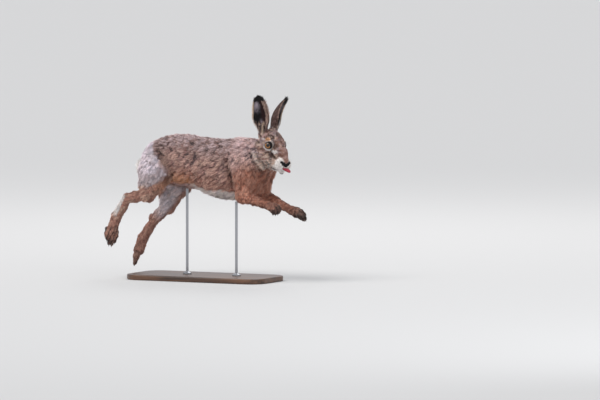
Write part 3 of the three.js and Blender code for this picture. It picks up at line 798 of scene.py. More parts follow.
def leg_markings(p, shares, colour, grizzle, stroke_depth, wave):
    """Brown legs with pale inner shanks, a white strip behind each hind foot, painted shade between the toes.
    """
    y, z = p[:, 1], p[:, 2]
    for name, leg in LEGS.items():
        side = leg["side"]
        shank = np.clip(shares["shank_" + name] + shares["hamstring_" + name] * smooth(262, 240, z), 0, 1)
        foot = np.clip(shares["foot_" + name] + shares["hind_toes_" + name], 0, 1)
        limb = np.clip(shank * smooth(262, 240, z) + foot, 0, 1)
        colour = over(colour, mix(mix(UMBER, RUFOUS, 0.5), SAND, 0.38), limb * 0.92)
        grizzle = grizzle * (1 - 0.65 * limb)
        stroke_depth = stroke_depth * (1 - 0.6 * limb)
        axis = unit(leg["hock"] - leg["knee"])
        front = np.cross(axis, vec(0, 1, 0))
        around = (p - leg["knee"]) @ front
        inner = smooth(3, -8, (y - leg["knee"][1]) * side)
        down = (p - leg["knee"]) @ axis
        pale = inner * smooth(116, 84, down) * smooth(-30, -6, down)
        pale = pale * np.clip(shank + shares["thigh_" + name] * smooth(256, 244, z), 0, 1)
        colour = over(colour, PALE_GREY, pale * smooth(-24, -14, around) * smooth(24, 14, around))
        pale_line = line_mask(around, down, [(-8, 10), (-12, 60)], 4) * (1 - inner) * shank
        colour = over(colour, CREAM, pale_line * 0.5)
        streaks = smooth(0.1, 0.6, noise(np.stack([around, down * 0.2, y], axis=1), 4.5, 14))
        colour = over(colour, mix(UMBER, DARK, 0.4), streaks * limb * (1 - 0.6 * inner) * 0.6)
        lights = smooth(0.1, 0.6, noise(np.stack([around, down * 0.2, y], axis=1), 5.5, 15))
        colour = over(colour, mix(CREAM, SAND, 0.4), lights * limb * (1 - 0.6 * inner) * 0.5)
        along = unit(leg["ball"] - leg["hock"])
        reach = (p - leg["hock"]) @ along
        plantar = np.cross(along, unit(np.cross(vec(0, 0, 1), along)))
        rear = (p - leg["hock"]) @ unit(plantar + vec(0, side * 0.75, 0))
        strip = smooth(6.5, 10, rear) * smooth(-20, -12, reach) * smooth(58, 40, reach)
        strip = strip * np.clip(foot + shank, 0, 1)
        colour = over(colour, WHITE, strip)
        across = (p - leg["ball"]) @ leg["foot_across"]
        toward = smooth(62, 96, reach) * foot
        # Painted shade in the gaps between the hind toes.
        between = np.abs(((across / 8.6 + 0.5) % 1.0) - 0.5) * 2
        toe_gap_shade = smooth(0.5, 0.1, between) * toward * (1.0 if side < 0 else 0.5)
        colour = over(colour, DARK, np.clip(toe_gap_shade * 0.95 + smooth(0.1, 0.7, wave) * toward * 0.4, 0, 1))
        tips = smooth(106, 122, reach) * foot
        colour = over(colour, DARK, tips * (0.8 if side < 0 else 0.35))
        paw = np.clip(shares["paw_" + name] + shares["fore_toes_" + name], 0, 1)
        colour = over(colour, mix(mix(UMBER, RUFOUS, 0.35), SAND, 0.2), paw * 0.92)
        colour = over(colour, DARK, smooth(0.05, 0.45, noise(p, 4.5, 17)) * paw * 0.65)
        colour = over(colour, mix(SAND, CREAM, 0.4), smooth(0.1, 0.5, noise(p, 4.5, 18)) * paw * 0.4)
        grizzle = grizzle * (1 - 0.7 * paw)
        stroke_depth = stroke_depth * (1 - 0.5 * paw)
        under = smooth(4, -5, (p - leg["knuckles"]) @ leg["paw_up"]) * paw
        ahead = smooth(-8, 8, (p - leg["knuckles"]) @ unit(leg["knuckles"] - leg["wrist"])) * paw
        under = under * smooth(-26, -8, (p - leg["knuckles"]) @ unit(leg["knuckles"] - leg["wrist"]))
        colour = over(colour, mix(DARK, SOOT, 0.3), np.clip(under + ahead * 0.75, 0, 1) * 0.88)
        paw_across = (p - leg["knuckles"]) @ leg["paw_across"]
        between = np.abs(((paw_across / 7.6 + 0.5) % 1.0) - 0.5) * 2
        reach = (p - leg["wrist"]) @ unit(leg["knuckles"] - leg["wrist"])
        # Painted shade in the gaps between the fore toes.
        colour = over(colour, DARK, smooth(0.45, 0.1, between) * smooth(10, 22, reach) * paw * 0.9)
    return colour, grizzle, stroke_depth


# The face plane: the head's origin in it, and its steps to the millimetre
FACE_U = 488
FACE_V = 722
FACE_STEPS = 4.846


def face_plane(q):
    """Head coordinates laid flat as seen from ahead of the cheek: u towards the nose, v down."""
    x, y, z = q[:, 0], np.abs(q[:, 1]), q[:, 2]
    u = FACE_U + FACE_STEPS * (0.51 * x - 0.762 * y + 0.398 * z)
    v = FACE_V + FACE_STEPS * (0.603 * x - 0.013 * y - 0.797 * z)
    return u, v


# Places in the face plane. Above CHEEK_TOP the cheek's edge isn't used
EYE_RING = (392, 717)
CHEEK_TOP = 800
NOSE_WING = [(548, 922), (574, 948), (600, 970)]
AHEAD_OF_JAW = [(a + 34, b - 26) for a, b in JAW]

# Strokes on the face, in the order they are painted: a broken line, its width, colour and strength
FACE_STROKES = [
    ([(500, 590), (560, 640), (622, 705)], 26, mix(UMBER, DARK, 0.3), 0.9),
    ([(470, 700), (530, 780), (560, 860)], 34, mix(UMBER, RUFOUS, 0.5), 0.75),
    ([(492, 730), (525, 800)], 12, mix(UMBER, DARK, 0.4), 0.8),
    ([(585, 790), (600, 880)], 26, mix(SAND, TAN, 0.3), 0.7),
    ([(404, 800), (425, 880), (445, 1000)], 13, mix(UMBER, DARK, 0.5), 0.9),
    ([(396, 612), (430, 604), (462, 624)], 14, mix(UMBER, DARK, 0.6), 0.95),
    ([(432, 645), (464, 700), (466, 750)], 11, mix(UMBER, DARK, 0.8), 0.9),
]
# Stripes at the ears' feet: a broken line, its width and its colour
EAR_FOOT_STROKES = [
    ([(290, 440), (298, 580)], 11, mix(DARK, SOOT, 0.4)),
    ([(350, 500), (345, 610)], 14, DARK),
    ([(265, 460), (262, 600)], 10, CREAM),
    ([(320, 440), (320, 580)], 12, CREAM),
]


def nose_wing(u, v):
    """The bare black skin from the nostril down to the lip, as a broken line in the face's plane."""
    return smooth(0.35, 0.55, line_mask(u, v, NOSE_WING, 21))


def jaw_side(u, v):
    """How far a place lies inside the cheek's edge, above and ahead of the broken line JAW."""
    edge = np.interp(v, [p[1] for p in JAW], [p[0] for p in JAW])
    return (u - edge) * 0.7


def face_markings(p, shares, colour, grizzle, stroke_depth):
    """Speckled brown head with a pale lid ring, a tan patch over the eye, a white muzzle and a jaw line."""
    q = into_head(p)
    u, v = face_plane(q)
    away = FIELDS["head"](p)
    inside_jaw = smooth(0, 14, jaw_side(u, v))
    midline = smooth(0.5, 0.9, shares["head"]) * smooth(6, 2, np.abs(q[:, 1]))
    share = np.clip(smooth(16, 6, away) * inside_jaw + midline, 0, 1)
    share = np.where(v < CHEEK_TOP, smooth(0.2, 0.6, shares["head"]), share)
    near_head = smooth(30, 20, away) * smooth(4, 12, np.abs(q[:, 1]))
    fleck = noise(q, 5.0, 51) * 0.7 + noise(q, 3.0, 53) * 0.5
    speck = noise(q * vec(0.6, 1, 1), 5.8, 52)
    face = np.tile(mix(SAND, UMBER, 0.45), (len(p), 1))
    face = over(face, mix(SAND, CREAM, 0.6), smooth(0.0, 0.3, speck) * 0.95)
    face = over(face, mix(UMBER, DARK, 0.6), smooth(0.05, 0.3, fleck) * 0.92)
    for points, wide, tint, strength in FACE_STROKES:
        face = over(face, tint, line_mask(u, v, points, wide) * strength)
    face = over(face, TAN, oval(u, v, (386, 652), (30, 20)))
    face = over(face, WHITE, oval(u, v, (341, 648), (17, 13)) * 0.85)
    face = over(face, DARK, line_mask(u, v, [(318, 690), (335, 668)], 8) * 0.8)
    out = np.hypot(u - EYE_RING[0], v - EYE_RING[1])
    # The black lid rim is thicker at the top and the pale ring fainter there: partly dark lashes, partly
    # painted shade under the upper lid.
    low = smooth(-20, 20, v - FACE_V)
    face = over(face, WHITE, np.exp(-(((out - 52) / 7) ** 2)) * mix(0.5, 0.95, low))
    face = over(face, SOOT, smooth(46, 42, out - 3 * (1 - low)))
    below_eye = oval(u + 14 * noise(q, 4, 54), v + 14 * noise(q, 4, 55), (468, 800), (36, 17), 0.5)
    face = over(face, WHITE, below_eye * 0.85)
    face = over(face, WHITE, line_mask(u, v, [(432, 778), (505, 814)], 8) * 0.7)
    face = over(face, CREAM, line_mask(u, v, [(452, 850), (500, 838)], 9) * 0.7)
    pad = oval(u, v, (530, 960), (66, 92), 0.2)
    face = over(face, mix(CREAM, SAND, 0.5), oval(u, v, (505, 950), (76, 98), 0.25) * 0.8)
    face = over(face, WHITE, pad * 0.95)
    # Painted shade: the white muzzle pad turns grey towards its lower edge.
    face = over(face, mix(GREY, UMBER, 0.3), pad * smooth(985, 1030, v + 0.3 * (530 - u)) * 0.7)
    low_lip = smooth(-31, -35, q[:, 2]) * smooth(31, 40, q[:, 0])
    face = over(face, WHITE, low_lip * 0.95)
    bridge = smooth(9, 5, np.abs(q[:, 1])) * smooth(-16, -10, q[:, 2]) * smooth(20, 34, q[:, 0])
    face = over(face, mix(SAND, UMBER, 0.25), bridge * 0.9)
    m = mirrored(q)
    face = over(face, SOOT, nose_wing(u, v) * smooth(38, 42, q[:, 0]))
    # Painted shade: black in the lip's cleft and dark in the mouth's slot, where the skin is cut in.
    face = over(face, SOOT, spot(m, vec(58, 0, -25), vec(7, 1.8, 6), 0.3) * 0.9)
    face = over(face, mix(UMBER, SOOT, 0.7), spot(q, vec(59, 6, -32), vec(6, 9, 2.0), 0.3) * 0.95)
    # Painted shade under the chin.
    face = over(face, mix(UMBER, SOOT, 0.7), spot(q, vec(56, 1, -42), vec(6, 4.5, 4), 0.3) * 0.9)
    colour = colour * (1 - share[:, None]) + face * share[:, None]
    jaw = line_mask(u, v, JAW, 14)
    behind = line_mask(u, v, BEHIND_JAW, 22)
    ahead = line_mask(u, v, AHEAD_OF_JAW, 12)
    colour = over(colour, mix(UMBER, DARK, 0.5), np.maximum(behind, ahead) * near_head * 0.85)
    colour = over(colour, mix(CREAM, WHITE, 0.5), jaw * near_head)
    stump = smooth(-30, -40, q[:, 0]) * smooth(2, 10, q[:, 2]) * share
    for points, wide, tint in EAR_FOOT_STROKES:
        colour = over(colour, tint, line_mask(u, v, points, wide) * stump)
    plain = np.clip(pad + low_lip + smooth(64, 52, out) + below_eye, 0, 1)
    grizzle = grizzle * (1 - share) + share * 0.7 * (1 - plain)
    stroke_depth = stroke_depth * (1 - share) + share * 0.5 * (1 - plain)
    return colour, grizzle, stroke_depth


def ear_markings(marks, side):
    """Dark brown outside. Inside black with a pale patch behind and a striped flap ahead. A black tip."""
    a, t, layer = marks.T
    rear = a * side
    wave = noise(np.stack([a * 3, t * 9, layer * 5], axis=1), 0.5, 8)
    fine = noise(np.stack([a * 9, t * 16, layer * 5], axis=1), 0.5, 9)
    outer = np.tile(mix(UMBER, DARK, 0.45), (len(a), 1))
    outer = over(outer, mix(BUFF, UMBER, 0.3), smooth(0.0, 0.6, fine) * 0.55)
    outer = over(outer, PALE_GREY, smooth(0.55, 0.9, rear + wave * 0.1) * smooth(0.5, 0.2, t) * 0.8)
    inner = over(np.tile(SOOT, (len(a), 1)), MAROON, smooth(0.35, 0.0, np.abs(rear + 0.05)) * 0.9)
    high = t + 0.06 * fine
    patch = smooth(0.02, 0.6, rear + 0.15 * wave) * smooth(0.42, 0.74, high) * smooth(0.88, 0.74, high)
    inner = over(inner, GREY, patch * (0.8 if side < 0 else 0.25) * smooth(1.0, 0.8, rear))
    grey_line = np.exp(-(((rear - 0.16) / 0.12) ** 2))
    inner = over(inner, mix(GREY, UMBER, 0.3), grey_line * smooth(0.36, 0.2, t) * 0.7)
    flap = smooth(-0.2, -0.3, rear + wave * 0.06)
    inner = over(inner, mix(BUFF, CREAM, 0.35), flap)
    inner = over(inner, mix(UMBER, DARK, 0.5), flap * smooth(0.1, 0.5, fine) * 0.8)
    dark_line = np.exp(-(((rear + 0.66 + 0.12 * wave) / 0.06) ** 2))
    inner = over(inner, mix(UMBER, DARK, 0.6), flap * dark_line * 0.8)
    base = smooth(0.24, 0.13, t - 0.06 * rear + 0.06 * wave)
    inner = over(inner, mix(BUFF, UMBER, 0.45), base * 0.95)
    streak = np.sin(rear * 13 + 3 * wave)
    inner = over(inner, CREAM, smooth(0.2, 0.8, -streak) * base * 0.8)
    inner = over(inner, mix(DARK, SOOT, 0.3), smooth(0.2, 0.8, streak) * base * 0.85)
    colour = outer * (1 - layer[:, None]) + inner * layer[:, None]
    fringe = smooth(0.9, 0.99, np.abs(a)) * smooth(0.84, 0.76, t) * smooth(-0.5, 0.5, rear + 0.6)
    colour = over(colour, CREAM, fringe * 0.7)
    colour = over(colour, WHITE, smooth(0.85, 0.95, rear) * smooth(0.4, 0.3, t) * 0.9)
    colour = over(colour, SOOT, smooth(0.815, 0.85, t + wave * 0.02))
    return colour, 0.4 * (1 - layer) * (1 - fringe)


# The lie of the coat: the way each length of the body runs, blended by nearness and laid into the skin


def lie_of_coat(p, shares):
    """Sum of each length's direction times its share."""
    backwards = -HEAD_TURN[:, 0]
    ways = {
        "trunk": vec(-1, 0, -0.12),
        "neck": vec(-0.85, 0.12, -0.5),
        "head": backwards,
        "tail": vec(-0.5, 0, -0.85),
    }
    for name, leg in LEGS.items():
        ways["thigh_" + name] = vec(-0.75, 0, -0.65)
        ways["hamstring_" + name] = vec(-0.6, 0, -0.8)
        ways["shank_" + name] = unit(leg["hock"] - leg["knee"])
        ways["foot_" + name] = unit(leg["ball"] - leg["hock"])
        ways["hind_toes_" + name] = unit(leg["hind_toes"] - leg["ball"])
        ways["arm_" + name] = vec(-0.25, 0, -0.97)
        ways["forearm_" + name] = unit(leg["wrist"] - leg["elbow"])
        ways["paw_" + name] = unit(leg["knuckles"] - leg["wrist"])
        ways["fore_toes_" + name] = unit(leg["fore_toes"] - leg["knuckles"])
    way = sum(shares[name][:, None] * ways[name] for name in ways)
    down = vec(0, 0, -0.35) * smooth(10, 45, np.abs(p[:, 1]))[:, None]
    return way + down * (shares["trunk"] + shares["neck"])[:, None]


# Meshes


def mesh_from(name, verts_mm, corners, sizes):
    """A mesh object from arrays: places in millimetres, all faces' corners in a row, each face's size."""
    mesh = bpy.data.meshes.new(name)
    mesh.vertices.add(len(verts_mm))
    mesh.vertices.foreach_set("co", (verts_mm * MM).astype(np.float32).ravel())
    mesh.loops.add(len(corners))
    mesh.loops.foreach_set("vertex_index", corners.astype(np.int32))
    mesh.polygons.add(len(sizes))
    mesh.polygons.foreach_set("loop_start", (np.cumsum(sizes) - sizes).astype(np.int32))
    mesh.polygons.foreach_set("use_smooth", np.ones(len(sizes), dtype=bool))
    mesh.update(calc_edges=True)
    mesh.validate()
    piece = bpy.data.objects.new(name, mesh)
    bpy.context.scene.collection.objects.link(piece)
    return piece


def quads_from(name, verts_mm, quads):
    return mesh_from(name, verts_mm, quads.ravel(), np.full(len(quads), 4))


def give(piece, name, values):
    """Stores a value on every vertex: one number each, or a colour from three."""
    if values.ndim == 1:
        layer = piece.data.attributes.new(name, "FLOAT", "POINT")
        layer.data.foreach_set("value", values.astype(np.float32))
        return
    layer = piece.data.attributes.new(name, "FLOAT_COLOR", "POINT")
    full = np.ones((len(values), 4), dtype=np.float32)
    full[:, :3] = values
    layer.data.foreach_set("color", full.ravel())


def finish_piece(piece, material, slot, *nodes):
    piece.data.materials.append(material)
    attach(piece, "root")
    if nodes:
        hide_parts(*nodes)


# Shader maths as Python expressions


class Value:
    """A socket that numbers and other sockets can be added to or multiplied by."""

    def __init__(self, graph, socket):
        self.graph = graph
        self.socket = socket

    def maths(self, operation, first, second):
        made = self.graph.node("ShaderNodeMath", {"operation": operation}, {0: first, 1: second})
        return self.graph.out(made)

    def __add__(self, other):
        return self.maths("ADD", self, other)

    def __radd__(self, other):
        return self.maths("ADD", other, self)

    def __sub__(self, other):
        return self.maths("SUBTRACT", self, other)

    def __rsub__(self, other):
        return self.maths("SUBTRACT", other, self)

    def __mul__(self, other):
        return self.maths("MULTIPLY", self, other)

    def __rmul__(self, other):
        return self.maths("MULTIPLY", other, self)

    def __pow__(self, other):
        return self.maths("POWER", self, other)


class Graph:
    """A material's nodes."""

    def __init__(self, name):
        self.material = bpy.data.materials.new(name)
        self.material.use_nodes = True
        self.tree = self.material.node_tree
        self.shader = self.tree.nodes["Principled BSDF"]

    def node(self, kind, settings=None, sockets=None):
        made = self.tree.nodes.new(kind)
        for key, value in (settings or {}).items():
            setattr(made, key, value)
        for key, value in (sockets or {}).items():
            self.put(made.inputs[key], value)
        return made

    def put(self, socket, value):
        if isinstance(value, Value):
            self.tree.links.new(value.socket, socket)
        elif isinstance(value, (tuple, list, np.ndarray)) and len(socket.default_value) == 4:
            socket.default_value = (*[float(v) for v in value][:3], 1.0)
        elif isinstance(value, (tuple, list, np.ndarray)):
            socket.default_value = [float(v) for v in value]
        else:
            socket.default_value = value

    def out(self, made, key=0):
        return Value(self, made.outputs[key])

    def set(self, **sockets):
        for key, value in sockets.items():
            self.put(self.shader.inputs[key.replace("_", " ")], value)

    def attribute(self, name, key="Fac"):
        return self.out(self.node("ShaderNodeAttribute", {"attribute_name": name}), key)

    def place(self):
        return self.out(self.node("ShaderNodeTexCoord"), "Object")

    def noise(self, scale, detail=3.0, rough=0.5, at=None, stretch=None):
        at = at or self.place()
        if stretch:
            at = self.out(self.node("ShaderNodeMapping", {}, {"Vector": at, "Scale": stretch}))
        return self.out(
            self.node(
                "ShaderNodeTexNoise", {}, {"Vector": at, "Scale": scale, "Detail": detail, "Roughness": rough}
            )
        )

    def ramp(self, fac, low, high, smooth_step=True):
        made = self.node(
            "ShaderNodeMapRange",
            {"interpolation_type": "SMOOTHSTEP" if smooth_step else "LINEAR"},
            {"Value": fac, "From Min": low, "From Max": high},
        )
        return self.out(made)

    def blend(self, fac, a, b, how="MIX"):
        made = self.node(
            "ShaderNodeMix", {"data_type": "RGBA", "blend_type": how}, {0: fac, 6: a, 7: b}
        )
        return self.out(made, 2)

    def bump(self, height, strength, distance):
        made = self.node(
            "ShaderNodeBump", {}, {"Height": height, "Strength": strength, "Distance": distance}
        )
        return self.out(made, "Normal")


def coat_material():
    """Hair: dark at the root, partly as painted shade, lighter to the tip, with a dark band below a buff tip
    where it is grizzled; the buff tip is partly a painted highlight.
    """
    g = Graph("coat")
    tone = g.attribute("tone", "Color")
    along = g.attribute("along")
    luck = g.attribute("luck")
    grizzle = g.attribute("grizzle")
    band = g.ramp(along, 0.3, 0.5) * (1 - g.ramp(along, 0.72, 0.86)) * grizzle * 0.6
    # Darker towards the root: partly the dark underfur, partly painted shade deep between the clumps.
    root = (1 - g.ramp(along, 0.0, 0.55)) * 0.6
    dark = g.blend(1.0, tone, (0.2, 0.17, 0.16), "MULTIPLY")
    colour = g.blend(root, tone, g.blend(1.0, tone, (0.5, 0.44, 0.42), "MULTIPLY"))
    colour = g.blend(band * g.ramp(luck, 0.1, 0.5), colour, dark)
    colour = g.blend(g.ramp(luck, 0.72, 0.76) * grizzle * 0.95, colour, dark)
    # Pale buff tips where the hair is grizzled, partly a painted highlight on the tips.
    buff_tip_and_highlight = g.ramp(along, 0.75, 1.0) * (0.35 + luck * 0.4)
    colour = g.blend(buff_tip_and_highlight * grizzle, colour, paint(228, 200, 186))
    shade = g.blend(1.0, tone, (0.62, 0.6, 0.6), "MULTIPLY")
    colour = g.blend(g.ramp(luck, 0.0, 1.0, False) * 0.3, colour, shade)
    g.set(Base_Color=colour, Roughness=0.62, Specular_IOR_Level=0.25)
    g.set(Sheen_Weight=0.12, Sheen_Roughness=0.5)
    return g.material


def skin_material():
    """The same markings as the coat, darker, with short fur as a fine streaked bump."""
    g = Graph("skin")
    tone = g.attribute("tone", "Color")
    fur = g.noise(420.0, 4.0, 0.6, stretch=(0.5, 1.0, 1.0))
    clumps = g.noise(120.0, 2.0, 0.5)
    colour = g.blend(g.ramp(fur, 0.35, 0.65) * 0.5, tone, g.blend(1.0, tone, (0.45, 0.4, 0.38), "MULTIPLY"))
    colour = g.blend(0.35, colour, g.blend(1.0, tone, (0.5, 0.45, 0.43), "MULTIPLY"))
    g.set(Base_Color=colour, Roughness=0.8, Specular_IOR_Level=0.2)
    g.set(Normal=g.bump(fur + clumps * 0.8, 0.5, 0.0012))
    return g.material


def eye_material():
    """Amber iris with spokes, a dark rim and a round pupil, under a wet clear coat. The iris darkens towards
    the top as painted shade of the upper lid.
    """
    g = Graph("eye")
    turn = g.attribute("ring")
    top = g.attribute("height")
    spokes = g.noise(9.0, 4.0, 0.7, g.attribute("spoke", "Vector"))
    iris = g.blend(g.ramp(spokes, 0.3, 0.7), paint(112, 62, 26), paint(206, 142, 70))
    iris = g.blend(g.ramp(turn, 0.42, 0.54), iris, paint(84, 46, 24))
    # Painted shade of the upper lid: the iris darkens towards the top.
    iris = g.blend(g.ramp(top, 0.2, 0.55) * 0.85, iris, paint(36, 24, 26))
    colour = g.blend(g.ramp(turn, 0.29, 0.27), iris, (0.004, 0.004, 0.006))
    colour = g.blend(g.ramp(turn, 0.54, 0.6), colour, (0.012, 0.008, 0.007))
    g.set(Base_Color=colour, Roughness=0.3, Specular_IOR_Level=0.2, Coat_Weight=0.7, Coat_Roughness=0.03)
    return g.material


def wet_material(name, light, dark, rough, scale, depth, shine=0.35):
    """Bare wet skin, pebbled."""
    g = Graph(name)
    pebbles = g.out(g.node("ShaderNodeTexVoronoi", {}, {"Vector": g.place(), "Scale": scale}), "Distance")
    patch = g.noise(scale * 0.3)
    colour = g.blend(g.ramp(patch, 0.3, 0.7), dark, light)
    g.set(Base_Color=colour, Roughness=rough + patch * 0.15, Coat_Weight=shine, Coat_Roughness=0.15)
    g.set(Specular_IOR_Level=0.15 + shine)
    g.set(Normal=g.bump(pebbles, 0.5, depth))
    return g.material


def horn_material():
    g = Graph("claw_horn")
    streak = g.noise(500.0, 3.0)
    g.set(Base_Color=g.blend(g.ramp(streak, 0.3, 0.7), paint(38, 30, 26), paint(88, 72, 58)), Roughness=0.4)
    return g.material


def whisker_material():
    g = Graph("whisker")
    along = g.attribute("along")
    colour = g.blend(g.ramp(along, 0.0, 0.35), paint(150, 140, 130), paint(244, 240, 234))
    g.set(Base_Color=colour, Roughness=0.35)
    return g.material


def wood_material():
    """Long stretched grain with darker pores, under a satin varnish."""
    g = Graph("stained_wood")
    grain = g.noise(9.0, 6.0, 0.6, stretch=(0.6, 7.0, 7.0))
    pores = g.noise(160.0, 3.0, 0.7, stretch=(0.12, 2.2, 2.2))
    colour = g.blend(g.ramp(grain, 0.32, 0.68), paint(52, 33, 22), paint(104, 70, 46))
    colour = g.blend(g.ramp(pores, 0.56, 0.7) * 0.7, colour, paint(34, 21, 14))
    g.set(Base_Color=colour, Roughness=0.34 + grain * 0.2, Coat_Weight=0.3, Coat_Roughness=0.25)
    g.set(Normal=g.bump(pores, 0.25, 0.0004))
    return g.material


def steel_material():
    """Steel brushed round the rod."""
    g = Graph("brushed_steel")
    brush = g.noise(300.0, 3.0, 0.6, stretch=(0.3, 0.3, 6.0))
    g.set(Base_Color=g.blend(brush, paint(150, 152, 156), paint(190, 192, 196)), Metallic=1.0)
    g.set(Roughness=0.24 + brush * 0.2, Normal=g.bump(brush, 0.15, 0.0002))
    return g.material


# Skin
xs = lattice(-266, 292, 158, 272, 2.6, 1.5)
ys = lattice(-94, 92, -62, 30, 2.4, 1.6)
zs = lattice(16, 424, 296, 418, 2.7, 1.5)
skin_verts, skin_quads = wrap_field(skin_field, xs, ys, zs)
skin_verts = drawn_on(skin_field, skin_verts)
_, _, skin_shares = measure(skin_verts)
skin_tone, _ = markings(skin_verts, skin_shares)
ear_layers = {}
all_verts = [skin_verts]
all_quads = [skin_quads]
all_tones = [skin_tone]
for ear_name, ear in EARS.items():
    verts, quads, marks = ear_sheet(ear)
    ear_layers[ear_name] = (verts, quads, marks)
    tone, _ = ear_markings(marks, -1 if ear_name == "right" else 1)
    all_quads.append(quads + sum(len(v) for v in all_verts))
    all_verts.append(verts)
    all_tones.append(tone)
skin = quads_from("skin", np.concatenate(all_verts), np.concatenate(all_quads))
give(skin, "tone", np.concatenate(all_tones))
FLESH = ["head", "neck", "chest", "loin", "rump", "tail", "ear_left", "ear_right"]
LEG_NODES = ("thigh", "shank", "hind_foot", "upper_arm", "forearm", "forepaw")
for name in LEGS:
    FLESH += [part + "_" + name for part in LEG_NODES]
finish_piece(skin, skin_material(), "coat", *FLESH)


# Coat


def vertex_normals(verts, quads):
    """Sum of the crossed diagonals of each quad that meets the vertex."""
    cross = np.cross(verts[quads[:, 2]] - verts[quads[:, 0]], verts[quads[:, 3]] - verts[quads[:, 1]])
    out = np.zeros_like(verts)
    for corner in range(4):
        for axis in range(3):
            out[:, axis] += np.bincount(quads[:, corner], cross[:, axis], len(verts))
    return unit(out)


def scatter(verts, quads, normals, thickness):
    """Random places on the quads, as many to the square millimetre as thickness says, and their normals."""
    corners = verts[quads]
    area = 0.5 * np.linalg.norm(
        np.cross(corners[:, 2] - corners[:, 0], corners[:, 3] - corners[:, 1]), axis=1
    )
    want = area * thickness[quads].mean(axis=1)
    count = np.floor(want + draw.random(len(want))).astype(int)
    face = np.repeat(np.arange(len(quads)), count)
    a = draw.random(len(face))[:, None]
    b = draw.random(len(face))[:, None]
    weights = [(1 - a) * (1 - b), a * (1 - b), a * b, (1 - a) * b]
    spots = sum(w * verts[quads[face, i]] for i, w in enumerate(weights))
    ways = sum(w * normals[quads[face, i]] for i, w in enumerate(weights))
    return spots, unit(ways), face, weights


# Where each length's roots go on the flat map: the tile's corner and size
TILES = {}
EAR_TILES = ["ear_left_0", "ear_left_1", "ear_right_0", "ear_right_1"]
for number, tile_name in enumerate(list(FIELDS) + EAR_TILES):
    TILES[tile_name] = ((number % 6) / 6.0 + 0.004, (number // 6) / 5.0 + 0.004)
TILE_WIDE = 1 / 6.0 - 0.008
TILE_HIGH = 1 / 5.0 - 0.008


def flat_place(p, owner):
    """Angle round the length's own line across the tile, and the way along it up the tile."""
    out = np.zeros((len(p), 2))
    lines = {"trunk": (vec(-180, 0, 300), vec(190, 0, 300))}
    lines["neck"] = (vec(110, 0, 310), vec(190, -8, 340))
    lines["head"] = (from_head(vec(-60, 0, -6)), from_head(vec(64, 0, -16)))
    lines["tail"] = (TAIL_LINE[0][0], TAIL_LINE[-1][0])
    for name, leg in LEGS.items():
        lines["thigh_" + name] = (vec(-120, leg["side"] * 36, 350), leg["knee"])
        lines["hamstring_" + name] = (vec(-148, leg["side"] * 30, 300), leg["calf"])
        lines["shank_" + name] = (leg["knee"], leg["hock"])
        lines["foot_" + name] = (leg["hock"], leg["ball"])
        lines["hind_toes_" + name] = (leg["ball"], leg["hind_toes"])
        lines["arm_" + name] = (vec(92, leg["side"] * 30, 338), leg["elbow"])
        lines["forearm_" + name] = (leg["elbow"], leg["wrist"])
        lines["paw_" + name] = (leg["wrist"], leg["knuckles"])
        lines["fore_toes_" + name] = (leg["knuckles"], leg["fore_toes"])
    for index, name in enumerate(FIELDS):
        here = owner == index
        a, b = lines[name]
        along = unit(b - a)
        side = unit(np.cross(along, vec(0.1, 1, 0.05)))
        third = np.cross(along, side)
        q = p[here] - a
        long = np.linalg.norm(b - a)
        s = np.clip((q @ along) / long * 0.6 + 0.2, 0, 1)
        turn = np.arctan2(q @ third, q @ side) / (2 * math.pi) + 0.5
        corner = TILES[name]
        out[here, 0] = corner[0] + turn * TILE_WIDE
        out[here, 1] = corner[1] + s * TILE_HIGH
    return out


# The width of one tuft's patch on the flat map
PATCH = 0.003


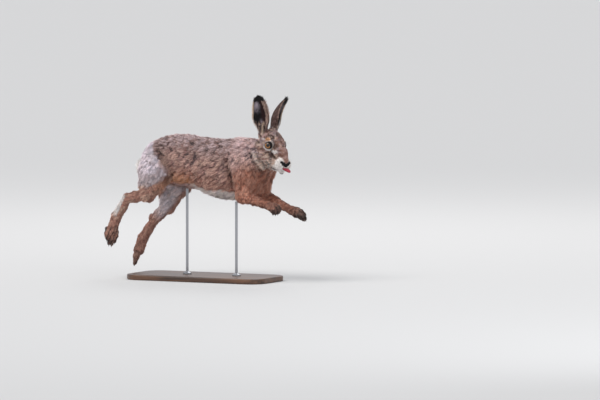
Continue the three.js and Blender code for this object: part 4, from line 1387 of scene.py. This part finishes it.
def lay_coat(name, roots, normals, way, long, wide, lift, tone, grizzle, flat, slot, clump, pull):
    """Each tuft is a blade of three steps, two corners at the root, two half way and one at the tip.

    It leaves the skin at the angle lift and lies down to 0.35 of that. Its far half leans to its clump's
    middle."""
    n = len(roots)
    way = way - normals * np.sum(way * normals, axis=1, keepdims=True)
    way = unit(way + 0.16 * draw.normal(size=(n, 3)))
    way = unit(way - normals * np.sum(way * normals, axis=1, keepdims=True))
    side = np.cross(way, normals)
    seeds, number = nearest_seed(roots, clump, 40)
    to_seed = seeds - roots
    to_seed = to_seed - normals * np.sum(to_seed * normals, axis=1, keepdims=True)
    to_seed = to_seed - way * (np.sum(to_seed * way, axis=1, keepdims=True) * 0.6)
    far = np.maximum(np.linalg.norm(to_seed, axis=1, keepdims=True), 1e-6)
    to_seed = to_seed * np.minimum(1, clump / far)
    long = long * draw.uniform(0.72, 1.18, n) * (0.88 + 0.24 * number)
    wide = wide * draw.uniform(0.7, 1.25, n)
    lift = lift * draw.uniform(0.75, 1.25, n) * (0.85 + 0.3 * number)
    roll = draw.normal(0, 0.4, n)[:, None]
    edge = side * np.cos(roll) + normals * np.sin(roll)
    first = way * np.cos(lift)[:, None] + normals * np.sin(lift)[:, None]
    lying = lift * 0.35
    second = way * np.cos(lying)[:, None] + normals * np.sin(lying)[:, None]
    base = roots - normals * 0.4
    middle = base + first * (long * 0.5)[:, None] + to_seed * (pull * 0.3)
    tip = middle + second * (long * 0.5)[:, None] + to_seed * (pull * 0.5)
    half = edge * (wide * 0.5)[:, None]
    verts = np.stack([base - half, base + half, middle - half * 0.85, middle + half * 0.85, tip], axis=1)
    start = (np.arange(n) * 5)[:, None]
    corners = np.concatenate([start + [0, 1, 3, 2], start + [2, 3, 4]], axis=1)
    sizes = np.tile([4, 3], n)
    piece = mesh_from(name, verts.reshape(-1, 3), corners.ravel(), sizes)
    give(piece, "tone", np.repeat(tone * (0.72 + 0.56 * number)[:, None], 5, axis=0))
    give(piece, "along", np.tile([0, 0, 0.55, 0.55, 1.0], n))
    give(piece, "luck", np.repeat(draw.random(n), 5))
    give(piece, "grizzle", np.repeat(grizzle, 5))
    step = np.array([[-0.5, 0], [0.5, 0], [0.4, 0.5], [-0.4, 0.5], [-0.4, 0.5], [0.4, 0.5], [0, 1]]) * PATCH
    uv = (flat[:, None, :] + step[None]).reshape(-1, 2)
    layer = piece.data.uv_layers.new(name="OFBake")
    layer.data.foreach_set("uv", uv.astype(np.float32).ravel())
    finish_piece(piece, coat_look, slot)


# Tufts of each length of the body: how long and wide, how steep, and how many to the square millimetre.
# The last three are for the muzzle, the jaw's line and round the eyes
TUFTS = {
    "trunk": (12.5, 1.15, 0.48, 1.55), "neck": (12.5, 1.15, 0.52, 1.6), "head": (4.6, 0.8, 0.5, 2.9),
    "tail": (15.0, 1.3, 0.7, 2.2), "thigh": (11.5, 1.15, 0.46, 1.5), "hamstring": (10.0, 1.2, 0.56, 1.3),
    "shank": (7.5, 1.05, 0.46, 1.5), "arm": (10.5, 1.2, 0.58, 1.3), "forearm": (6.5, 1.0, 0.46, 1.7),
    "foot": (6.0, 1.0, 0.42, 1.7), "paw": (5.0, 0.95, 0.45, 2.0), "hind_toes": (4.4, 0.95, 0.42, 2.1),
    "fore_toes": (4.0, 0.9, 0.42, 2.3),
}
MUZZLE_TUFTS = np.array([3.0, 0.62, 0.42, 4.6])
JAW_TUFTS = np.array([4.5, 0.8, 0.4, 2.9])
EYE_TUFTS = np.array([2.6, 0.6, 0.3, 4.4])
coat_look = coat_material()
skin_normals = vertex_normals(skin_verts, skin_quads)
size_of = {name: TUFTS[part_of(name)] for name in FIELDS}
sizes_here = sum(skin_shares[name][:, None] * np.array(size_of[name]) for name in FIELDS)
head_place = into_head(skin_verts)
muzzle_here = (smooth(10, 46, head_place[:, 0]) * smooth(0.3, 0.8, skin_shares["head"]))[:, None]
sizes_here = mix(sizes_here, MUZZLE_TUFTS, muzzle_here)
jaw_line = line_mask(*face_plane(head_place), JAW, 60) * smooth(30, 20, FIELDS["head"](skin_verts))
sizes_here = mix(sizes_here, JAW_TUFTS, jaw_line[:, None])
eye_out = np.minimum(*(np.linalg.norm(head_place - EYE_AT[side], axis=1) for side in (1, -1)))
sizes_here = mix(sizes_here, EYE_TUFTS, smooth(17, 13, eye_out)[:, None])


def bare(q):
    """1 where no hair grows: on the eyes' lids, in the mouth, on the nose's bare front."""
    m = mirrored(q)
    out = m - EYE_AT[1]
    axial = out @ GAZE[1]
    radial = np.linalg.norm(out - axial[:, None] * GAZE[1], axis=1)
    u, v = face_plane(q)
    lid = (radial < 10.4) & (axial > -3)
    ring = (np.hypot(u - EYE_RING[0], v - EYE_RING[1]) < 44) & (m[:, 0] < 12) & (m[:, 1] > 12)
    mouth = ellipsoid(vec(57, 7, -32), vec(8, 10, 2.0))(q) < 0
    wing = (nose_wing(u, v) > 0.5) & (m[:, 0] > 40)
    nose = ellipsoid(NOSE_AT, vec(8.5, 13, 8))(q) < 0
    return lid | ring | mouth | nose | wing


roots, normals, face, weights = scatter(skin_verts, skin_quads, skin_normals, sizes_here[:, 3])


def at_roots(values):
    return sum(w * values[skin_quads[face, i]] for i, w in enumerate(weights))


clear = ~bare(into_head(roots))
share_table = np.stack([skin_shares[name] for name in FIELDS], axis=1)
root_table = at_roots(share_table)[clear]
root_sizes = at_roots(sizes_here)[clear]
roots = roots[clear]
normals = normals[clear]
root_shares = {name: root_table[:, i] for i, name in enumerate(FIELDS)}
tone, grizzle = markings(roots, root_shares)
way = lie_of_coat(roots, root_shares)
in_head = into_head(roots)
ear_rise = smooth(-34, -44, in_head[:, 0]) * smooth(2, 10, in_head[:, 2]) * root_shares["head"]
for side, ear in ((1, EARS["left"]), (-1, EARS["right"])):
    here = (ear_rise * (in_head[:, 1] * side > 4))[:, None]
    way = unit(way) * (1 - here) + unit(from_head(ear["tip"]) - from_head(ear["foot"])) * here
swirl = np.stack([noise(roots, 38, 21), noise(roots, 38, 22), noise(roots, 38, 23)], axis=1)
way = unit(way) + swirl * 0.35
for side in (1, -1):
    out = in_head - EYE_AT[side]
    near_eye = (1 - smooth(11, 20, np.linalg.norm(out, axis=1)))[:, None]
    way = way * (1 - near_eye * 0.6) + (unit(out) @ HEAD_TURN.T) * near_eye * 0.6
stroke = np.clip(dashes(roots) * 2.2, -1, 1)
root_sizes = root_sizes * (1 - stroke[:, None] * np.array([0.22, 0.0, 0.25, 0.0]))
owner = np.argmax(root_table, axis=1)
flat = flat_place(roots, owner)
names = list(FIELDS)
GROUPS = {
    "coat_head": ("coat", ["head"]),
    "coat_neck": ("coat", ["neck"]),
    "coat_trunk": ("coat", ["trunk"]),
    "coat_haunches": ("coat", ["thigh_left", "thigh_right", "hamstring_left", "hamstring_right"]),
    "coat_hind_legs": (
        "coat_legs",
        [a + b for a in ("shank", "foot", "hind_toes") for b in ("_left", "_right")],
    ),
    "coat_forelegs": (
        "coat_legs",
        [a + b for a in ("arm", "forearm", "paw", "fore_toes") for b in ("_left", "_right")],
    ),
    "coat_tail": ("coat_tail", ["tail"]),
}
CLUMP = {
    "coat_head": 3.2, "coat_neck": 5.6, "coat_trunk": 5.2, "coat_haunches": 5.0, "coat_hind_legs": 3.6,
    "coat_forelegs": 4.0, "coat_tail": 6.0,
}
# The most tufts in one piece
MOST = 64000
for group, (slot, members) in GROUPS.items():
    here = np.flatnonzero(np.isin(owner, [names.index(member) for member in members]))
    here = here[np.argsort(roots[here, 0])]
    pieces = max(1, math.ceil(len(here) / MOST))
    pull = 0.45 if CLUMP[group] > 5 else 0.35
    for number, some in enumerate(np.array_split(here, pieces)):
        label = group if pieces == 1 else group + "_" + str(number + 1)
        long, wide, lift, _ = root_sizes[some].T
        lay_coat(
            label, roots[some], normals[some], way[some], long, wide, lift,
            tone[some], grizzle[some], flat[some], slot, clump=CLUMP[group], pull=pull,
        )

# The ears' short coat, up the ear on both faces, longer along the rim
for ear_name, (verts, quads, marks) in ear_layers.items():
    ear_normals = vertex_normals(verts, quads)
    thick = np.full(len(verts), 2.0)
    ear_roots, ear_ways, ear_face, ear_weights = scatter(verts, quads, ear_normals, thick)
    ear_marks = sum(w * marks[quads[ear_face, i]] for i, w in enumerate(ear_weights))
    side = -1 if ear_name == "right" else 1
    ear_tone, ear_grizzle = ear_markings(ear_marks, side)
    up = unit(from_head(EARS[ear_name]["tip"]) - from_head(EARS[ear_name]["foot"]))
    rim = smooth(0.75, 1.0, np.abs(ear_marks[:, 0]))
    opening = unit(EARS[ear_name]["opening"]) @ HEAD_TURN.T
    outward = np.sign(ear_marks[:, 0])[:, None] * np.cross(up, opening)
    ear_way = up + outward * (rim * 0.5)[:, None]
    inner = ear_marks[:, 2]
    long = 3.2 + rim * 3.2 - inner * (1 - rim)
    corner_out = np.array(TILES["ear_" + ear_name + "_0"])
    corner_in = np.array(TILES["ear_" + ear_name + "_1"])
    ear_flat = np.stack([(ear_marks[:, 0] + 1) / 2 * TILE_WIDE, ear_marks[:, 1] * TILE_HIGH], axis=1)
    ear_flat = ear_flat + corner_out + (corner_in - corner_out) * (inner > 0.5)[:, None]
    lay_coat(
        "coat_ear_" + ear_name, ear_roots, ear_ways, ear_way, long, np.full(len(long), 0.75),
        0.22 + rim * 0.1, ear_tone, ear_grizzle, ear_flat, "coat_ears", clump=4.0, pull=0.2,
    )


# Eyes


def ball(centre, axis, radius, rows=48, around=72):
    """A ball as rings about its axis. ring is each place's angle from the axis over a quarter turn."""
    polar = np.linspace(0, math.pi, rows)[:, None]
    turn = np.linspace(0, 2 * math.pi, around, endpoint=False)[None, :]
    side = unit(np.cross(axis, vec(0, 0, 1)))
    third = np.cross(axis, side)
    bulge = radius * (1 + 0.03 * np.exp(-((polar / 0.5) ** 2)))
    parts = [bulge * np.cos(polar) * np.ones_like(turn), bulge * np.sin(polar) * np.cos(turn)]
    parts.append(bulge * np.sin(polar) * np.sin(turn))
    verts = centre + sum(p[..., None] * d for p, d in zip(parts, (axis, side, third)))
    ring = np.repeat(polar.ravel() / math.pi * 2, around)
    spoke = np.stack([np.cos(turn) * np.ones_like(polar), np.sin(turn) * np.ones_like(polar)], axis=-1)
    return verts.reshape(-1, 3), ring_quads(rows, around, True), ring, spoke.reshape(-1, 2)


eye_look = eye_material()
for eye_name, side in (("left", 1), ("right", -1)):
    look = unit(vec(0.49, side * 0.79, 0.33))
    verts, quads, ring, spoke = ball(EYE_AT[side], look, EYE_R * 0.99)
    eye = quads_from("eyeball_" + eye_name, from_head(verts), quads)
    give(eye, "ring", ring)
    # height drives the painted shade of the upper lid across the top of the eye.
    give(eye, "height", (verts[:, 2] - EYE_AT[side][2]) / EYE_R)
    layer = eye.data.attributes.new("spoke", "FLOAT_VECTOR", "POINT")
    layer.data.foreach_set("vector", np.pad(spoke, ((0, 0), (0, 1))).astype(np.float32).ravel())
    finish_piece(eye, eye_look, "eye", "eye_" + eye_name)


# Nose: broad and flat above, drawn in to a point below, with two comma-shaped nostrils


def nose_surface(rows=56, around=72):
    """An ellipsoid whose lower part narrows by 0.72 and leans forward, dented along two slits."""
    polar = np.linspace(0.0, math.pi, rows)[:, None]
    turn = np.linspace(0, 2 * math.pi, around, endpoint=False)[None, :]
    x = np.cos(polar) * np.ones_like(turn)
    y = np.sin(polar) * np.cos(turn)
    z = np.sin(polar) * np.sin(turn)
    q = np.stack([x * 7.5, y * 12, z * 7.0], axis=-1).reshape(-1, 3)
    drop = np.clip((2 - q[:, 2]) / 9, 0, 1)
    q[:, 0] += 2.5 * drop
    q[:, 1] *= 1 - 0.72 * drop
    q[:, 0] -= 5 * np.exp(-((q[:, 1] / 4.5) ** 2)) * smooth(-1.5, 2.5, q[:, 2])
    q[:, 2] -= 2.2 * np.exp(-((q[:, 1] / 5) ** 2)) * smooth(-3, 3, q[:, 2])
    from_slit = np.abs(q[:, 1]) - 6.0 - 0.6 * (q[:, 2] - 1)
    slit = np.exp(-((from_slit / 1.3) ** 2) - ((q[:, 2] - 0.5) / 2.8) ** 2)
    groove = np.exp(-((q[:, 1] / 0.7) ** 2)) * smooth(-6, 0, q[:, 0])
    ahead = smooth(0, 3, q[:, 0])
    q[:, 0] -= (slit * 2.6 + groove * 0.8) * ahead
    return q + NOSE_AT, ring_quads(rows, around, True)


verts, quads = nose_surface()
nose_piece = quads_from("nose_leather", from_head(verts), quads)
nose_look = wet_material("nose_skin", (0.008, 0.007, 0.008), (0.003, 0.003, 0.004), 0.5, 1400, 0.0003, 0.03)
finish_piece(nose_piece, nose_look, "nose", "nose")


def along_line(points, t):
    """A smooth line through the points: cubic pieces in each coordinate."""
    stations = np.linspace(0, 1, len(points))
    return np.stack([curve_at(t, stations, [p[i] for p in points]) for i in range(3)], axis=1)


def tongue_surface(rows=50, around=40):
    """A flattened tube along its line, rounded at the tip, with a groove down its upper face."""
    line = [vec(38, 2, -33), vec(48, 5, -32), vec(57, 10.5, -30.5), vec(66, 17, -31.5)]
    t = np.linspace(0, 1, rows)
    centre = along_line(line, t)
    tangent = unit(np.gradient(centre, axis=0))
    side = unit(np.cross(vec(0, 0, 1), tangent))
    over_side = np.cross(tangent, side)
    turn = np.linspace(0, 2 * math.pi, around, endpoint=False)
    size = np.sqrt(np.clip(1 - ((t - 0.25) / 0.76) ** 4, 0.0004, 1)) * np.minimum(1, t * 8 + 0.05)
    wide = 5.8 * size[:, None] * np.cos(turn)[None, :]
    high = 5.0 * size[:, None] * np.sin(turn)[None, :]
    groove = np.exp(-((np.cos(turn) / 0.25) ** 2))[None, :]
    high = high - 0.8 * size[:, None] * groove * (np.sin(turn) > 0)[None, :]
    verts = centre[:, None] + wide[..., None] * side[:, None] + high[..., None] * over_side[:, None]
    return verts.reshape(-1, 3), ring_quads(rows, around)


verts, quads = tongue_surface()
tongue_piece = quads_from("tongue_flesh", from_head(verts), quads)
tongue_look = wet_material("tongue_skin", paint(196, 52, 74), paint(150, 24, 46), 0.3, 900, 0.0003)
finish_piece(tongue_piece, tongue_look, "tongue", "tongue")


# Claws and whiskers: tapered tubes along curved lines


def tubes(lines, radii, around=8):
    """Rings of the given radii about each line's points, crossways to it, closing nearly to a point."""
    count, rows, _ = lines.shape
    tangent = unit(np.gradient(lines, axis=1))
    side = unit(np.cross(tangent, vec(0.13, 0.21, 0.97)))
    third = np.cross(tangent, side)
    turn = np.linspace(0, 2 * math.pi, around, endpoint=False)
    ring = np.cos(turn)[:, None] * side[:, :, None] + np.sin(turn)[:, None] * third[:, :, None]
    verts = lines[:, :, None] + ring * radii[:, :, None, None]
    c, i, j = np.meshgrid(np.arange(count), np.arange(rows - 1), np.arange(around), indexing="ij")
    nxt = (j + 1) % around
    row = (c * rows + i) * around
    quads = np.stack([row + j, row + nxt, row + around + nxt, row + around + j], axis=-1)
    return verts.reshape(-1, 3), quads.reshape(-1, 4)


CLAW_ROWS = 9
WHISKER_ROWS = 14
claw_lines = []
for name, leg in LEGS.items():
    for rows, long, lift in ((leg["hind_rows"], 8.5, leg["sole"]), (leg["fore_rows"], 6.5, leg["paw_up"])):
        for a, b, c, r in rows:
            along = unit(c - a)
            t = np.linspace(0, 1, CLAW_ROWS)[:, None]
            bend = -lift * long * 0.28 * t * t
            claw_lines.append(c + along * (r * 0.2 + t * long) + lift + bend)
claw_lines = np.array(claw_lines)
claw_t = np.linspace(0, 1, CLAW_ROWS)
claw_radii = np.tile(1.35 * np.sqrt(np.clip(1 - claw_t**1.6, 0.0005, 1)), (len(claw_lines), 1))
verts, quads = tubes(claw_lines, claw_radii, 10)
claws = quads_from("claws", verts, quads)
finish_piece(claws, horn_material(), "nose")

whisker_lines = []
for side in (1, -1):
    for row in range(4):
        for column in range(5):
            start = vec(50 - column * 4.2, side * (17 + column * 1.6 - abs(row - 1.5)), -15 - row * 4.2)
            aim = vec(0.35 - column * 0.22, side, 0.12 - row * 0.22)
            aim = unit(aim + 0.12 * draw.normal(size=3))
            long = 34 + column * 6 + draw.uniform(-6, 8)
            t = np.linspace(0, 1, WHISKER_ROWS)[:, None]
            sag = vec(-0.12, 0, -0.2) * long * t * t
            whisker_lines.append(from_head(start + aim * long * t + sag))
for side in (1, -1):
    for column in range(2):
        start = vec(8 + column * 5, side * 21, 15)
        aim = unit(vec(0.1, side * 0.9, 0.75) + 0.1 * draw.normal(size=3))
        t = np.linspace(0, 1, WHISKER_ROWS)[:, None]
        whisker_lines.append(from_head(start + aim * 26 * t + vec(-0.2, 0, -0.1) * 26 * t * t))
whisker_lines = np.array(whisker_lines)
whisker_t = np.linspace(0, 1, WHISKER_ROWS)
whisker_radii = np.tile(0.17 * (1 - 0.9 * whisker_t), (len(whisker_lines), 1))
verts, quads = tubes(whisker_lines, whisker_radii, 5)
whiskers = quads_from("whiskers", verts, quads)
give(whiskers, "along", np.tile(np.repeat(whisker_t, 5), len(whisker_lines)))
finish_piece(whiskers, whisker_material(), "coat_tail")

# Stand
wood = wood_material()
steel = steel_material()
for node_name, look in (("stand_base", wood), ("stand_rod_front", steel), ("stand_rod_rear", steel)):
    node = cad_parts[node_name]
    for material_slot in node.material_slots:
        material_slot.material = look

# Floor, light and camera
floor_mesh = bpy.data.meshes.new("floor")
reach = 400.0
floor_corners = [(x * reach, y * reach, 0) for x, y in ((-1, -1), (1, -1), (1, 1), (-1, 1))]
floor_mesh.from_pydata(floor_corners, [], [(0, 1, 2, 3)])
floor = bpy.data.objects.new("floor", floor_mesh)
bpy.context.scene.collection.objects.link(floor)
floor_graph = Graph("pale_floor")
floor_graph.set(Base_Color=(0.6, 0.6, 0.595), Roughness=0.9, Specular_IOR_Level=0.2)
floor_mesh.materials.append(floor_graph.material)
floor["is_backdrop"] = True

world = bpy.data.worlds.new("studio")
world.use_nodes = True
world.node_tree.nodes["Background"].inputs["Color"].default_value = (0.93, 0.95, 1.0, 1.0)
world.node_tree.nodes["Background"].inputs["Strength"].default_value = 0.68
bpy.context.scene.world = world

AZIMUTH = math.radians(27)
ELEVATION = math.radians(4)
right = vec(math.cos(AZIMUTH), math.sin(AZIMUTH), 0)
level = math.cos(ELEVATION)
back = vec(math.sin(AZIMUTH) * level, -math.cos(AZIMUTH) * level, math.sin(ELEVATION))
above = np.cross(back, right)


def turn_to(x_axis, y_axis, z_axis, place):
    matrix = Matrix.Identity(4)
    for i in range(3):
        matrix[i][0] = x_axis[i]
        matrix[i][1] = y_axis[i]
        matrix[i][2] = z_axis[i]
        matrix[i][3] = place[i]
    return matrix


def area_light(name, place, power, size, colour):
    data = bpy.data.lights.new(name, "AREA")
    data.energy = power
    data.size = size
    data.color = colour
    light = bpy.data.objects.new(name, data)
    bpy.context.scene.collection.objects.link(light)
    z_axis = unit(place - vec(0, 0, 0.3))
    x_axis = unit(np.cross(vec(0.01, 0.02, 1), z_axis))
    light.matrix_world = turn_to(x_axis, np.cross(z_axis, x_axis), z_axis, place)


sun_data = bpy.data.lights.new("key", "SUN")
sun_data.energy = 1.9
sun_data.angle = math.radians(35)
sun_data.color = (1.0, 0.98, 0.96)
sun = bpy.data.objects.new("key", sun_data)
bpy.context.scene.collection.objects.link(sun)
sun_way = unit(vec(-0.25, -0.62, 0.95))
sun_side = unit(np.cross(vec(0, 0, 1), sun_way))
sun.matrix_world = turn_to(sun_side, np.cross(sun_way, sun_side), sun_way, sun_way * 4)
area_light("fill", vec(2.4, -1.2, 1.4), 12, 2.0, (0.95, 0.97, 1.0))
area_light("rim", vec(-0.6, 2.0, 2.4), 20, 1.6, (1.0, 0.98, 0.97))

# Camera: metres away, metres to a pixel, and the picture's middle in pixels from the origin
DISTANCE = 30.0
PIXEL = 0.0026
PICTURE_WIDTH = 600
MIDDLE_RIGHT = 95
MIDDLE_UP = 80
SENSOR = 36.0
target = right * (MIDDLE_RIGHT * PIXEL) + above * (MIDDLE_UP * PIXEL)
camera_data = bpy.data.cameras.new("camera")
camera_data.sensor_width = SENSOR
camera_data.lens = SENSOR * DISTANCE / (PICTURE_WIDTH * PIXEL)
camera_data.clip_end = 1000.0
camera = bpy.data.objects.new("camera", camera_data)
bpy.context.scene.collection.objects.link(camera)
camera.matrix_world = turn_to(right, above, back, target + back * DISTANCE)
bpy.context.scene.camera = camera
bpy.context.scene.view_settings.view_transform = "Standard"

made_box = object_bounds()
plain = [[[float(v) for v in corner] for corner in box] for box in (cad_box, made_box)]
